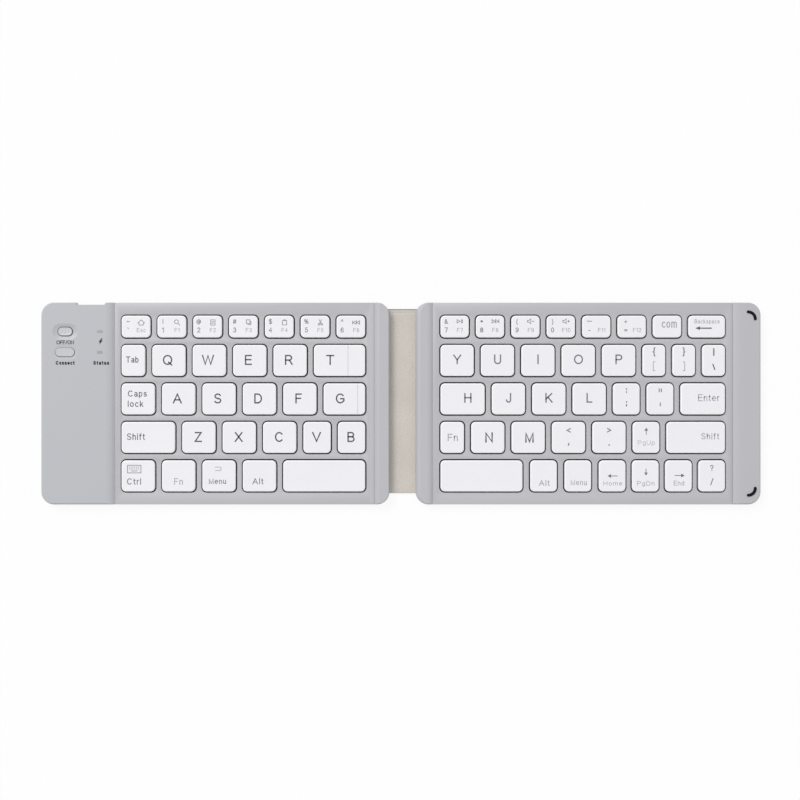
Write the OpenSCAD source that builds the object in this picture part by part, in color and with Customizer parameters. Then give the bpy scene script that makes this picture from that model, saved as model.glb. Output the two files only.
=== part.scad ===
// Folding keyboard in two halves on a flexible leather spine.
// +X runs to the right of the typist, +Y away from the typist, +Z up.
// The origin is under the middle of the open keyboard, on the surface it lies on.

/* [Keys] */
// Width of a letter key
key_w = 14.0; // [12:0.1:16]
// Depth of a letter key, front to back
key_d = 13.1; // [11:0.1:15]
// Depth of the number row keys
number_key_d = 9.2; // [8:0.1:13]
// Gap between neighbouring keys in a row
key_gap = 3.0; // [2.4:0.1:4]
// Gap between two rows
row_gap = 3.1; // [2.6:0.1:4]
// Corner radius of a key in plan
key_r = 1.8; // [0.8:0.1:2.4]
// Width of the tab key
tab_w = 9.9; // [8:0.1:12]
// Width of the left shift key
left_shift_w = 22.5; // [18:0.1:26]
// Width of each of the two space bars
space_w = 34.5; // [30:0.5:44]
// Width of the narrow keys, such as the arrows, as a share of a letter key
small_key_share = 0.8; // [0.72:0.01:0.92]
// Width of the right half's number keys, as a share of a letter key
right_number_share = 0.85; // [0.75:0.01:0.89]
// Width of the h key
h_key_w = 18.6; // [15:0.1:21]
// Width of the right half's fn key
right_fn_w = 9.9; // [8:0.1:12]
// Extra gap before each of the first three keys after the right half's space bar
front_spread = 0.25; // [0:0.05:0.3]
// How far a key goes down
key_travel = 1.2; // [0.8:0.05:1.4]
// Thickness of a key's top
key_top_t = 0.8; // [0.6:0.05:0.9]
// Thickness of a key's skirt
key_skirt_t = 0.9; // [0.7:0.05:1.2]
// Radius of the stem under a key
stem_r = 1.3; // [0.9:0.05:1.6]

/* [Case] */
// Plain margin in front of the keys
front_margin = 5.5; // [4:0.1:9]
// Plain margin behind the keys
back_margin = 5.5; // [4:0.1:9]
// Thickness of the key panels
panel_t = 0.8; // [0.6:0.05:1.2]
// Gap between a key and the edge of its opening
well_gap = 0.6; // [0.3:0.05:0.8]
// Thickness of the walls
wall_t = 1.2; // [1:0.05:1.6]
// Thickness of the floor of a half
floor_t = 0.6; // [0.5:0.05:1.2]
// Corner radius at the two far ends
end_corner_r = 5.3; // [3:0.1:8]
// Corner radius beside the spine
spine_corner_r = 5.3; // [3:0.1:6]
// Thickness of the roof over the rails and the battery
roof_t = 0.7; // [0.5:0.05:0.9]
// How far the rails stand above the key panels
rail_rise = 1.1; // [1:0.05:1.15]
// Width of the left half's rail beside the spine
left_rail_w = 6.2; // [6.2:0.1:10]
// Width of the right half's rail beside the spine
right_rail_w = 7.2; // [6.2:0.1:10]
// Width of the rail at the right-hand end
end_rail_w = 11.7; // [11:0.1:16]
// Margin between the battery compartment and the first keys
left_outer_margin = 3.0; // [2:0.1:6]
// Margin between the left half's last keys and its rail
left_inner_margin = 4.0; // [2:0.1:6]
// Margin between the right half's rail and its first keys
right_inner_margin = 3.3; // [2:0.1:6]
// Margin between the right half's last keys and the end rail
right_outer_margin = 3.4; // [2:0.1:6]
// Thickness of the ribs under the seams
rib_t = 1.6; // [1.2:0.1:2]
// Radius of the posts that hold up a key panel
post_r = 0.75; // [0.5:0.05:0.9]

/* [Leather spine] */
// Thickness of the leather
leather_t = 0.8; // [0.7:0.05:1.2]
// Width of the leather, front to back
leather_w = 78; // [66:0.5:79]
// Corner radius of the leather at the far ends
leather_corner_r = 3; // [1:0.1:5]
// How far the leather sits behind the middle
leather_back_shift = 1.0; // [-1:0.1:1.2]
// How deep the leather is let into the underside
leather_recess = 0.5; // [0.2:0.05:0.6]
// Plain border between the leather and the far ends
leather_end_inset = 2.5; // [2:0.1:8]
// Space between the leather and a half's edge when it bends
bend_gap = 0.15; // [0.15:0.01:0.4]
// Space between the facing keys when the keyboard is shut
shut_gap = 0.5; // [0.4:0.05:1]
// Width of the flat cable in the spine
cable_w = 12; // [8:0.5:20]
// Thickness of the flat cable
cable_t = 0.2; // [0.15:0.01:0.25]

/* [Battery compartment] */
// Width of the battery compartment at the left-hand end
battery_end_w = 30.9; // [30:0.1:40]
// How far its cover stands above the keys
cover_rise = 0.1; // [0.05:0.01:0.2]
// Width of the slope from the cover down to the key panel
slope_w = 2.5; // [1.5:0.1:3]
// Distance of the switch and the button from the left-hand end
switch_x = 10.2; // [9:0.1:12]
// Distance of the two lamps from the left-hand end
lamp_x = 24.9; // [23:0.1:26]
// Distance of the switch from the back edge
switch_y = 12.2; // [11:0.1:14]
// Distance of the connect button from the back edge
button_y = 21.0; // [20:0.1:24]
// Length of the dish around the switch
dish_l = 10.5; // [9.8:0.1:12]
// Width of the dish around the switch
dish_w = 6.5; // [5:0.1:7]
// Depth of the dish
dish_depth = 0.35; // [0.2:0.01:0.4]
// Length of the sliding knob
knob_l = 6.3; // [6:0.1:6.8]
// Width of the sliding knob
knob_w = 3.9; // [3:0.1:4.4]
// Travel of the knob either way
knob_travel = 1.0; // [0.8:0.1:1.2]
// Length of the connect button
button_l = 8.2; // [6:0.1:9]
// Width of the connect button
button_w = 3.8; // [3:0.1:4.4]
// Travel of the connect button
button_travel = 0.3; // [0.2:0.05:0.4]
// Length of a lamp window
lamp_l = 2.5; // [2:0.1:3]
// Width of a lamp window
lamp_w = 1.2; // [0.8:0.1:1.6]
// Distance of the charging port from the left-hand end
port_x = 21.2; // [19:0.1:22]
// Width of the charging port
port_w = 7.5; // [7.3:0.1:8]
// Height of the charging port
port_h = 2.3; // [2:0.05:2.4]
// Depth of the charging port
port_d = 5.0; // [4:0.1:7]
// Width of the notch in the back edge at the port
notch_w = 11.9; // [10.5:0.1:14]
// Depth of that notch
notch_d = 0.9; // [0.5:0.05:1.1]

/* [Inside] */
// Thickness of the printed membrane
membrane_t = 0.2; // [0.15:0.01:0.3]
// Thickness of the rubber dome sheet
dome_sheet_t = 0.25; // [0.2:0.01:0.4]
// Radius of a rubber dome at its foot
dome_r = 2.6; // [2.2:0.1:3]
// Thickness of the main board
board_t = 0.5; // [0.4:0.05:0.6]
// Depth of the main board, front to back
board_d = 31; // [28:0.5:34]
// Length of the battery, front to back
battery_l = 43; // [30:0.5:44]
// Space between the battery and the walls beside it
battery_side_gap = 1.2; // [0.6:0.1:2]
// Space between the battery and the slope
battery_slope_gap = 2.0; // [1:0.1:4]
// Space kept clear above the battery
battery_headroom = 0.15; // [0.1:0.05:0.5]

/* [Bumpers] */
// Radius of the two arc bumpers
bumper_r = 2.95; // [2:0.05:3.2]
// Width of their rubber
bumper_w = 1.05; // [0.8:0.05:1.3]
// How deep they are set into the end rail
bumper_set = 0.3; // [0.2:0.05:0.4]
// Distance of their centres from the right-hand end
bumper_x = 5.4; // [5:0.1:6]
// Distance of their centres from the front and back edges
bumper_y = 6.9; // [5:0.1:12]
// Space between them and the cover when the keyboard is shut
bumper_gap = 0.1; // [0.08:0.01:0.2]

/* [Hidden] */
fit_gap = 0.1;
fine = 48;
corner_steps = 8;
key_corner_steps = 4;
cut = 1;

// Heights, from the surface up
rim_z = leather_t - leather_recess;
floor_z = leather_t + floor_t;
membrane_z = floor_z + membrane_t;
dome_sheet_z = membrane_z + dome_sheet_t;
press_gap = 0.05;
skirt_z = dome_sheet_z + press_gap + key_travel;
panel_z = skirt_z + panel_t;
key_top_z = panel_z + key_travel;
dome_top_z = skirt_z - fit_gap;
rail_z = panel_z + rail_rise;
cover_z = key_top_z + cover_rise;

// The shut keyboard turns the right half over about two bend lines
shut_t = 2 * key_top_z + shut_gap;
fold_span = shut_t - leather_t;
bend_z = leather_t / 2;
bend_inset = leather_t / 2 + bend_gap;
spine_gap = fold_span + 2 * bend_inset;

// Key rows, counted from the back
rows = 5;
row_depths = [number_key_d, key_d, key_d, key_d, key_d];
body_d = front_margin + number_key_d + 4 * key_d + 4 * row_gap + back_margin;
front_y = -body_d / 2;
back_y = body_d / 2;
function row_y(i) = back_y - back_margin - row_depths[0] / 2
    - (i == 0 ? 0 : row_depths[0] / 2 + row_gap + key_d / 2 + (i - 1) * (key_d + row_gap));

// Widths of the two key fields and of the keys that fill a row
small_key_w = small_key_share * key_w;
right_number_w = right_number_share * key_w;
left_field_w = 4 * key_w + space_w + 4 * key_gap;
right_field_w = space_w + 6 * small_key_w + 6 * key_gap;
left_number_w = (left_field_w - 6 * key_gap) / 7;
t_key_w = left_field_w - tab_w - 4 * key_w - 5 * key_gap;
g_key_w = left_field_w - 5 * key_w - 5 * key_gap;
v_key_w = (left_field_w - left_shift_w - 3 * key_w - 5 * key_gap) / 2;
backspace_w = right_field_w - 7 * right_number_w - 7 * key_gap;
bracket_w = (right_field_w - 5 * key_w - 7 * key_gap) / 3;
enter_w = right_field_w - h_key_w - 3 * key_w - 2 * small_key_w - 6 * key_gap;
right_shift_w = right_field_w - right_fn_w - 4 * key_w - small_key_w - 6 * key_gap;

// Lengths along X
left_len = battery_end_w + left_outer_margin + left_field_w + left_inner_margin + left_rail_w;
right_len = right_rail_w + right_inner_margin + right_field_w + right_outer_margin + end_rail_w;
open_len = left_len + spine_gap + right_len;
left_x0 = -open_len / 2;
left_x1 = left_x0 + left_len;
right_x0 = left_x1 + spine_gap;
right_x1 = open_len / 2;
cover_x1 = left_x0 + battery_end_w;
left_rail_x0 = left_x1 - left_rail_w;
right_rail_x1 = right_x0 + right_rail_w;
end_rail_x0 = right_x1 - end_rail_w;
left_keys_x0 = cover_x1 + left_outer_margin;
right_keys_x0 = right_rail_x1 + right_inner_margin;
bend_a_x = left_x1 + bend_inset;
bend_b_x = right_x0 - bend_inset;
leather_y0 = leather_back_shift - leather_w / 2;
leather_y1 = leather_back_shift + leather_w / 2;

// Battery compartment, from the left-hand end and the back edge
roof_z = cover_z - roof_t;
knob_cx = left_x0 + switch_x;
knob_cy = back_y - switch_y;
button_cy = back_y - button_y;
lamp_cx = left_x0 + lamp_x;
port_cx = left_x0 + port_x;
board_gap = 0.05;
board_z0 = membrane_z + board_gap;
board_z1 = board_z0 + board_t;
board_x0 = left_x0 + wall_t + 1.2;
board_x1 = cover_x1 - slope_w - 0.6;
board_y1 = back_y - 2.9;
board_y0 = board_y1 - board_d;
port_y1 = back_y - notch_d - 0.2;
port_wall = 1.5;
neck_w = 1.6;
slide_body_h = 1.2;
tact_h = 1.3;
flange_t = 0.4;
flange_lip = 0.5;
lamp_chip_h = 0.6;
tongue_y = board_y0 + board_d / 2;
tongue_overlap = 6;
cable_y = leather_back_shift;
tail_riser_x = 2.6;

// Each key is [node, width] or [node, width, extra gap before it], listed from left to right
left_layout = [
    [for (i = [1:7]) ["left_number_keys", left_number_w]],
    [["left_edge_keys", tab_w], ["q_key", key_w], ["w_key", key_w], ["e_key", key_w],
        ["r_key", key_w], ["t_key", t_key_w]],
    [["left_edge_keys", key_w], ["a_key", key_w], ["s_key", key_w], ["d_key", key_w],
        ["f_key", key_w], ["g_key", g_key_w]],
    [["left_edge_keys", left_shift_w], ["z_key", key_w], ["x_key", key_w], ["c_key", key_w],
        ["v_key", v_key_w], ["b_key", v_key_w]],
    [for (i = [1:5]) i < 5 ? ["left_modifier_keys", key_w] : ["left_space_bar", space_w]]
];
right_layout = [
    [for (i = [1:8]) i < 8 ? ["right_number_keys", right_number_w] : ["backspace_key", backspace_w]],
    [["y_key", key_w], ["u_key", key_w], ["i_key", key_w], ["o_key", key_w], ["p_key", key_w],
        ["punctuation_keys", bracket_w], ["punctuation_keys", bracket_w],
        ["punctuation_keys", bracket_w]],
    [["h_key", h_key_w], ["j_key", key_w], ["k_key", key_w], ["l_key", key_w],
        ["punctuation_keys", small_key_w], ["punctuation_keys", small_key_w],
        ["enter_key", enter_w]],
    [["right_modifier_keys", right_fn_w], ["n_key", key_w], ["m_key", key_w],
        ["punctuation_keys", key_w], ["punctuation_keys", key_w], ["arrow_keys", small_key_w],
        ["right_modifier_keys", right_shift_w]],
    [["right_space_bar", space_w], ["right_modifier_keys", small_key_w, front_spread],
        ["right_modifier_keys", small_key_w, front_spread], ["arrow_keys", small_key_w, front_spread],
        ["arrow_keys", small_key_w, -front_spread], ["arrow_keys", small_key_w, -front_spread],
        ["punctuation_keys", small_key_w, -front_spread]]
];

// Every key as [node, centre x, centre y, width, depth]
function extra_gap(key) = len(key) > 2 ? key[2] : 0;
function run(row, i) = i == 0 ? 0 : run(row, i - 1) + row[i - 1][1] + key_gap + extra_gap(row[i]);
function placed(layout, x0) = [for (r = [0:rows - 1]) for (i = [0:len(layout[r]) - 1])
    [layout[r][i][0], x0 + run(layout[r], i) + layout[r][i][1] / 2, row_y(r),
        layout[r][i][1], row_depths[r]]];
left_keys = placed(left_layout, left_keys_x0);
right_keys = placed(right_layout, right_keys_x0);
all_keys = concat(left_keys, right_keys);

KEY_NODES = concat(
    [for (c = "qwertasdfgzxcvbyuiophjklnm") str(c, "_key")],
    ["left_number_keys", "left_edge_keys", "left_modifier_keys", "left_space_bar",
        "right_number_keys", "backspace_key", "enter_key", "punctuation_keys",
        "right_modifier_keys", "arrow_keys", "right_space_bar"]);

case_grey = [0.73, 0.73, 0.745];
cover_grey = [0.76, 0.76, 0.78];
key_white = [0.94, 0.94, 0.95];
leather_beige = [0.78, 0.76, 0.73];
rubber_black = [0.06, 0.06, 0.06];

// Outline of a rectangle with its own corner radius at each end
function arc(cx, cy, r, from, steps) =
    [for (i = [0:steps]) [cx + r * cos(from + 90 * i / steps), cy + r * sin(from + 90 * i / steps)]];
function rounded(x0, x1, y0, y1, r_left, r_right, steps) = concat(
    arc(x1 - r_right, y1 - r_right, r_right, 0, steps),
    arc(x0 + r_left, y1 - r_left, r_left, 90, steps),
    arc(x0 + r_left, y0 + r_left, r_left, 180, steps),
    arc(x1 - r_right, y0 + r_right, r_right, 270, steps));

module slab(x0, x1, y0, y1, z0, z1, r_left, r_right, steps = corner_steps) {
    translate([0, 0, z0])
        linear_extrude(z1 - z0)
            polygon(rounded(x0, x1, y0, y1, r_left, r_right, steps));
}

module block(x0, x1, y0, y1, z0, z1) {
    translate([x0, y0, z0]) cube([x1 - x0, y1 - y0, z1 - z0]);
}

// Upright solid with round ends, l long along X and w wide
module obround(cx, cy, l, w, z0, z1) {
    block(cx - (l - w) / 2, cx + (l - w) / 2, cy - w / 2, cy + w / 2, z0, z1);
    for (side = [-1, 1])
        translate([cx + side * (l - w) / 2, cy, z0]) cylinder(h = z1 - z0, r = w / 2, $fn = fine);
}

// One half's outline, drawn in by an inset
module half_body(x0, x1, r_left, r_right, inset, z0, z1) {
    slab(x0 + inset, x1 - inset, front_y + inset, back_y - inset, z0, z1,
        r_left - inset, r_right - inset);
}

// Places on the webs between the key rows where a post holds up the panel
post_columns = 2;
function post_places(x0, field_w) = [for (i = [1:post_columns]) for (r = [1, 3])
    [x0 + field_w * i / (post_columns + 1), (row_y(r) + row_y(r + 1)) / 2]];
left_posts = post_places(left_keys_x0, left_field_w);
right_posts = post_places(right_keys_x0, right_field_w);

module posts(places, r, z0, z1) {
    for (p = places)
        translate([p[0], p[1], z0]) cylinder(h = z1 - z0, r = r, $fn = fine);
}

// Flat tail of a membrane: down through the floor and out to the edge at x1
module tail(x_in, x_riser, x_out, grow) {
    y0 = cable_y - cable_w / 2 - grow;
    y1 = cable_y + cable_w / 2 + grow;
    low = bend_z - cable_t / 2 - grow;
    block(min(x_in, x_riser) - grow, max(x_in, x_riser) + grow, y0, y1,
        floor_z - grow, membrane_z + grow);
    block(x_riser - cable_t / 2 - grow, x_riser + cable_t / 2 + grow, y0, y1, low, membrane_z + grow);
    block(min(x_riser, x_out) - grow, max(x_riser, x_out) + grow, y0, y1, low, low + cable_t + 2 * grow);
}

// Tray of one half: floor, walls, ribs under the seams and posts under the panel.
// Each seam is its X and the Y at which a membrane passes through its rib.
module tray(x0, x1, r_left, r_right, seams, places, leather_x0, leather_x1) {
    difference() {
        half_body(x0, x1, r_left, r_right, 0, rim_z, skirt_z);
        half_body(x0, x1, r_left, r_right, wall_t, floor_z, skirt_z + cut);
        block(leather_x0 - fit_gap, leather_x1 + fit_gap, leather_y0 - fit_gap, leather_y1 + fit_gap,
            rim_z - cut, leather_t);
    }
    for (seam = seams) {
        x = seam[0];
        gap_y = seam[1];
        difference() {
            block(x - rib_t / 2, x + rib_t / 2, front_y + wall_t, back_y - wall_t, floor_z, skirt_z);
            block(x - rib_t, x + rib_t, gap_y - cable_w / 2 - fit_gap, gap_y + cable_w / 2 + fit_gap,
                floor_z - cut, membrane_z + fit_gap);
        }
    }
    posts(places, post_r, floor_z, skirt_z);
}

module port_cut() {
    block(port_cx - port_w / 2 - fit_gap, port_cx + port_w / 2 + fit_gap,
        port_y1 - port_d - fit_gap, back_y + cut, board_z1 - fit_gap, board_z1 + port_h + fit_gap);
}

module notch_cut(z0, z1) {
    block(port_cx - notch_w / 2, port_cx + notch_w / 2, back_y - notch_d, back_y + cut, z0, z1);
}

module port_surround(z0, z1) {
    block(port_cx - notch_w / 2 - 1, port_cx + notch_w / 2 + 1,
        back_y - notch_d - port_wall, back_y - wall_t, z0, z1);
}

module board_bosses() {
    boss_r = 1.2;
    for (x = [board_x0 + boss_r, board_x1 - boss_r])
        for (y = [board_y0 + boss_r, board_y1 - boss_r])
            translate([x, y, floor_z]) cylinder(h = board_z0 - floor_z, r = boss_r, $fn = fine);
}

module left_bottom_shell() {
    color(case_grey)
        difference() {
            union() {
                tray(left_x0, left_x1, end_corner_r, spine_corner_r,
                    [[cover_x1, tongue_y], [left_rail_x0, cable_y]],
                    left_posts, left_x0 + leather_end_inset, left_x1 + cut);
                port_surround(floor_z, skirt_z);
                board_bosses();
            }
            port_cut();
            notch_cut(rim_z - cut, skirt_z + cut);
            tail(left_x1 - 2 * tail_riser_x, left_x1 - tail_riser_x, left_x1 + cut, fit_gap);
        }
}

module right_bottom_shell() {
    color(case_grey)
        difference() {
            tray(right_x0, right_x1, spine_corner_r, end_corner_r,
                [[right_rail_x1, cable_y], [end_rail_x0, cable_y]],
                right_posts, right_x0 - cut, right_x1 - leather_end_inset);
            tail(right_x0 + 2 * tail_riser_x, right_x0 + tail_riser_x, right_x0 - cut, fit_gap);
        }
}

// Hollow cap along one stretch of a half, between two X places
module cap(x0, x1, r_left, r_right, from_x, to_x, top_z) {
    difference() {
        intersection() {
            half_body(x0, x1, r_left, r_right, 0, skirt_z, top_z);
            block(from_x, to_x, front_y - cut, back_y + cut, skirt_z - cut, top_z + cut);
        }
        intersection() {
            half_body(x0, x1, r_left, r_right, wall_t, skirt_z - cut, top_z - roof_t);
            block(from_x + wall_t, to_x - wall_t, front_y, back_y, skirt_z - 2 * cut, top_z);
        }
    }
}

module battery_cover() {
    color(cover_grey)
        difference() {
            union() {
                cap(left_x0, left_x1, end_corner_r, spine_corner_r, left_x0 - cut, cover_x1, cover_z);
                port_surround(skirt_z, roof_z);
            }
            // Slope down to the key panel
            translate([0, back_y + cut, 0])
                rotate([90, 0, 0])
                    linear_extrude(body_d + 2 * cut)
                        polygon([[cover_x1 - slope_w, cover_z], [cover_x1 + cut, panel_z - 0.3],
                            [cover_x1 + cut, cover_z + cut], [cover_x1 - slope_w, cover_z + cut]]);
            obround(knob_cx, knob_cy, dish_l, dish_w, cover_z - dish_depth, cover_z + cut);
            block(knob_cx - knob_travel - neck_w / 2 - fit_gap, knob_cx + knob_travel + neck_w / 2 + fit_gap,
                knob_cy - neck_w / 2 - fit_gap, knob_cy + neck_w / 2 + fit_gap, roof_z - cut, cover_z);
            obround(knob_cx, button_cy, button_l + 2 * fit_gap, button_w + 2 * fit_gap,
                roof_z - cut, cover_z + cut);
            for (y = [knob_cy, button_cy])
                obround(lamp_cx, y, lamp_l + fit_gap, lamp_w + fit_gap, roof_z - cut, cover_z + cut);
            port_cut();
            notch_cut(skirt_z - cut, cover_z + cut);
        }
}

module left_hinge_rail() {
    color(case_grey)
        cap(left_x0, left_x1, end_corner_r, spine_corner_r, left_rail_x0, left_x1 + wall_t, rail_z);
}

module right_hinge_rail() {
    color(case_grey)
        cap(right_x0, right_x1, spine_corner_r, end_corner_r, right_x0 - wall_t, right_rail_x1, rail_z);
}

// Centres of the two arc bumpers, with the angle at which each quarter starts
function bumper_places() = [
    [right_x1 - bumper_x, back_y - bumper_y, 0],
    [right_x1 - bumper_x, front_y + bumper_y, -90]];

module bumper_arcs(w, z0, z1) {
    for (p = bumper_places())
        translate([p[0], p[1], z0])
            rotate([0, 0, p[2]]) {
                rotate_extrude(angle = 90, $fn = fine)
                    translate([bumper_r - w / 2, 0]) square([w, z1 - z0]);
                for (a = [0, 90])
                    rotate([0, 0, a])
                        translate([bumper_r, 0, 0]) cylinder(h = z1 - z0, r = w / 2, $fn = fine);
            }
}

module right_end_rail() {
    color(case_grey)
        difference() {
            cap(right_x0, right_x1, spine_corner_r, end_corner_r, end_rail_x0, right_x1 + wall_t, rail_z);
            bumper_arcs(bumper_w + fit_gap, rail_z - bumper_set, rail_z + cut);
        }
}

module arc_bumpers() {
    color(rubber_black)
        bumper_arcs(bumper_w, rail_z - bumper_set, shut_t - cover_z - bumper_gap);
}

// Flat panel with one opening for each key
module key_panel(x0, x1, keys) {
    color(case_grey)
        difference() {
            block(x0, x1, front_y, back_y, skirt_z, panel_z);
            for (k = keys)
                slab(k[1] - k[3] / 2 - well_gap, k[1] + k[3] / 2 + well_gap,
                    k[2] - k[4] / 2 - well_gap, k[2] + k[4] / 2 + well_gap,
                    skirt_z - cut, panel_z + cut, key_r + well_gap, key_r + well_gap, key_corner_steps);
        }
}

module left_key_panel() {
    key_panel(cover_x1, left_rail_x0, left_keys);
}

module right_key_panel() {
    key_panel(right_rail_x1, end_rail_x0, right_keys);
}

// Sheet that lies on the floor under the keys
module under_sheet(x0, x1, z0, z1, places) {
    difference() {
        block(x0 + rib_t / 2 + fit_gap, x1 - rib_t / 2 - fit_gap,
            front_y + wall_t + fit_gap, back_y - wall_t - fit_gap, z0, z1);
        posts(places, post_r + fit_gap, z0 - cut, z1 + cut);
    }
}

module left_membrane() {
    color("honeydew") {
        under_sheet(cover_x1, left_rail_x0, floor_z, membrane_z, left_posts);
        // Tongue through the rib to the board
        block(cover_x1 - tongue_overlap, cover_x1 + rib_t, tongue_y - cable_w / 2,
            tongue_y + cable_w / 2, floor_z, membrane_z);
        tail(left_rail_x0 - rib_t, left_x1 - tail_riser_x, left_x1, 0);
    }
}

module right_membrane() {
    color("honeydew") {
        under_sheet(right_rail_x1, end_rail_x0, floor_z, membrane_z, right_posts);
        tail(right_rail_x1 + rib_t, right_x0 + tail_riser_x, right_x0, 0);
    }
}

// Sheet of hollow rubber domes, one under the stem of each key
module dome_sheet(x0, x1, keys, places) {
    dome_wall = 0.35;
    crown_r = stem_r;
    dome_h = dome_top_z - dome_sheet_z;
    color("gainsboro")
        difference() {
            union() {
                under_sheet(x0, x1, membrane_z, dome_sheet_z, places);
                for (k = keys)
                    translate([k[1], k[2], dome_sheet_z])
                        cylinder(h = dome_h, r1 = dome_r, r2 = crown_r, $fn = fine);
            }
            for (k = keys)
                translate([k[1], k[2], membrane_z - cut])
                    cylinder(h = dome_sheet_t + cut + dome_h - dome_wall, r1 = dome_r - dome_wall,
                        r2 = crown_r - dome_wall, $fn = fine);
        }
}

module left_rubber_domes() {
    dome_sheet(cover_x1, left_rail_x0, left_keys, left_posts);
}

module right_rubber_domes() {
    dome_sheet(right_rail_x1, end_rail_x0, right_keys, right_posts);
}

module left_leather_cover() {
    color(leather_beige)
        difference() {
            slab(left_x0 + leather_end_inset, left_x1, leather_y0, leather_y1, 0, leather_t,
                leather_corner_r, 0);
            tail(left_x1, left_x1 - tail_riser_x, left_x1 + cut, fit_gap / 2);
        }
}

module right_leather_cover() {
    color(leather_beige)
        difference() {
            slab(right_x0, right_x1 - leather_end_inset, leather_y0, leather_y1, 0, leather_t,
                0, leather_corner_r);
            tail(right_x0, right_x0 + tail_riser_x, right_x0 - cut, fit_gap / 2);
        }
}

// The part of the leather that turns, with a round edge along each bend line
module leather_spine() {
    pocket = cable_t + fit_gap;
    color(leather_beige)
        difference() {
            union() {
                block(bend_a_x, bend_b_x, leather_y0, leather_y1, 0, leather_t);
                for (x = [bend_a_x, bend_b_x])
                    translate([x, leather_y0, bend_z])
                        rotate([-90, 0, 0])
                            cylinder(h = leather_w, r = leather_t / 2, $fn = fine);
            }
            block(bend_a_x - leather_t, bend_b_x + leather_t, cable_y - cable_w / 2 - fit_gap,
                cable_y + cable_w / 2 + fit_gap, bend_z - pocket / 2, bend_z + pocket / 2);
        }
}

module spine_flat_cable() {
    color("goldenrod")
        block(bend_a_x, bend_b_x, cable_y - cable_w / 2, cable_y + cable_w / 2,
            bend_z - cable_t / 2, bend_z + cable_t / 2);
}

module battery() {
    pouch_r = 1.5;
    x0 = left_x0 + wall_t + battery_side_gap;
    x1 = cover_x1 - slope_w - battery_slope_gap;
    y0 = front_y + wall_t + battery_side_gap;
    color("silver")
        slab(x0, x1, y0, y0 + battery_l, floor_z, roof_z - battery_headroom, pouch_r, pouch_r);
}

// Board with the slide switch, the push switch and the two lamps soldered on
module main_board() {
    slide_l = 7;
    slide_w = 3.6;
    tact_w = 4.4;
    lamp_chip = 1.4;
    chip_w = 6;
    color("darkgreen") {
        block(board_x0, board_x1, board_y0, board_y1, board_z0, board_z1);
        translate([knob_cx - slide_l / 2, knob_cy - slide_w / 2, board_z1])
            cube([slide_l, slide_w, slide_body_h]);
        translate([knob_cx - tact_w / 2, button_cy - tact_w / 2, board_z1])
            cube([tact_w, tact_w, tact_h]);
        for (y = [knob_cy, button_cy])
            translate([lamp_cx - lamp_chip / 2, y - lamp_chip / 2, board_z1])
                cube([lamp_chip, lamp_chip, lamp_chip_h]);
        translate([(knob_cx + lamp_cx) / 2 - chip_w / 2, board_y0 + 2, board_z1])
            cube([chip_w, chip_w, 0.9]);
    }
}

// Metal receptacle with its tongue, open to the back
module charging_port() {
    metal_t = 0.3;
    tongue_t = 0.6;
    back_t = 0.5;
    color("silver") {
        difference() {
            block(port_cx - port_w / 2, port_cx + port_w / 2, port_y1 - port_d, port_y1,
                board_z1, board_z1 + port_h);
            block(port_cx - port_w / 2 + metal_t, port_cx + port_w / 2 - metal_t,
                port_y1 - port_d + back_t, port_y1 + cut, board_z1 + metal_t, board_z1 + port_h - metal_t);
        }
        block(port_cx - port_w / 4, port_cx + port_w / 4, port_y1 - port_d + back_t / 2, port_y1 - 1,
            board_z1 + port_h / 2, board_z1 + port_h / 2 + tongue_t);
    }
}

module status_lamps() {
    color("whitesmoke")
        for (y = [knob_cy, button_cy])
            obround(lamp_cx, y, lamp_l, lamp_w, board_z1 + lamp_chip_h + fit_gap, cover_z);
}

// Knob in the dish, with a rib for the finger and a neck down to the switch
module power_switch_knob() {
    rib_w = 0.8;
    pad_z0 = cover_z - dish_depth + press_gap;
    color("lightgray") {
        obround(knob_cx, knob_cy, knob_l, knob_w, pad_z0, cover_z - 0.05);
        block(knob_cx - rib_w / 2, knob_cx + rib_w / 2, knob_cy - knob_w * 0.38, knob_cy + knob_w * 0.38,
            cover_z - 0.1, cover_z);
        block(knob_cx - neck_w / 2, knob_cx + neck_w / 2, knob_cy - neck_w / 2, knob_cy + neck_w / 2,
            board_z1 + slide_body_h + fit_gap, pad_z0 + 0.1);
    }
}

// Button with a flange under the roof and a stem over the push switch
module connect_button() {
    stem = 1.1;
    stem_z0 = board_z1 + tact_h + button_travel + press_gap;
    flange_z1 = roof_z - press_gap;
    color("whitesmoke") {
        obround(knob_cx, button_cy, button_l, button_w, flange_z1 - flange_t, cover_z);
        obround(knob_cx, button_cy, button_l + 2 * flange_lip, button_w + 2 * flange_lip,
            flange_z1 - flange_t, flange_z1);
        translate([knob_cx, button_cy, stem_z0])
            cylinder(h = flange_z1 - flange_t / 2 - stem_z0, r = stem, $fn = fine);
    }
}

// One key cap: a thin shell with a stem that stands on its dome
module key_cap(k) {
    half_w = k[3] / 2;
    half_d = k[4] / 2;
    difference() {
        slab(k[1] - half_w, k[1] + half_w, k[2] - half_d, k[2] + half_d, skirt_z, key_top_z,
            key_r, key_r, key_corner_steps);
        slab(k[1] - half_w + key_skirt_t, k[1] + half_w - key_skirt_t,
            k[2] - half_d + key_skirt_t, k[2] + half_d - key_skirt_t,
            skirt_z - cut, key_top_z - key_top_t,
            max(key_r - key_skirt_t, 0.1), max(key_r - key_skirt_t, 0.1), key_corner_steps);
    }
    translate([k[1], k[2], skirt_z])
        cylinder(h = key_top_z - key_top_t / 2 - skirt_z, r = stem_r, $fn = fine);
}

module key_group(name) {
    color(key_white)
        for (k = all_keys)
            if (k[0] == name) key_cap(k);
}

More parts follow.
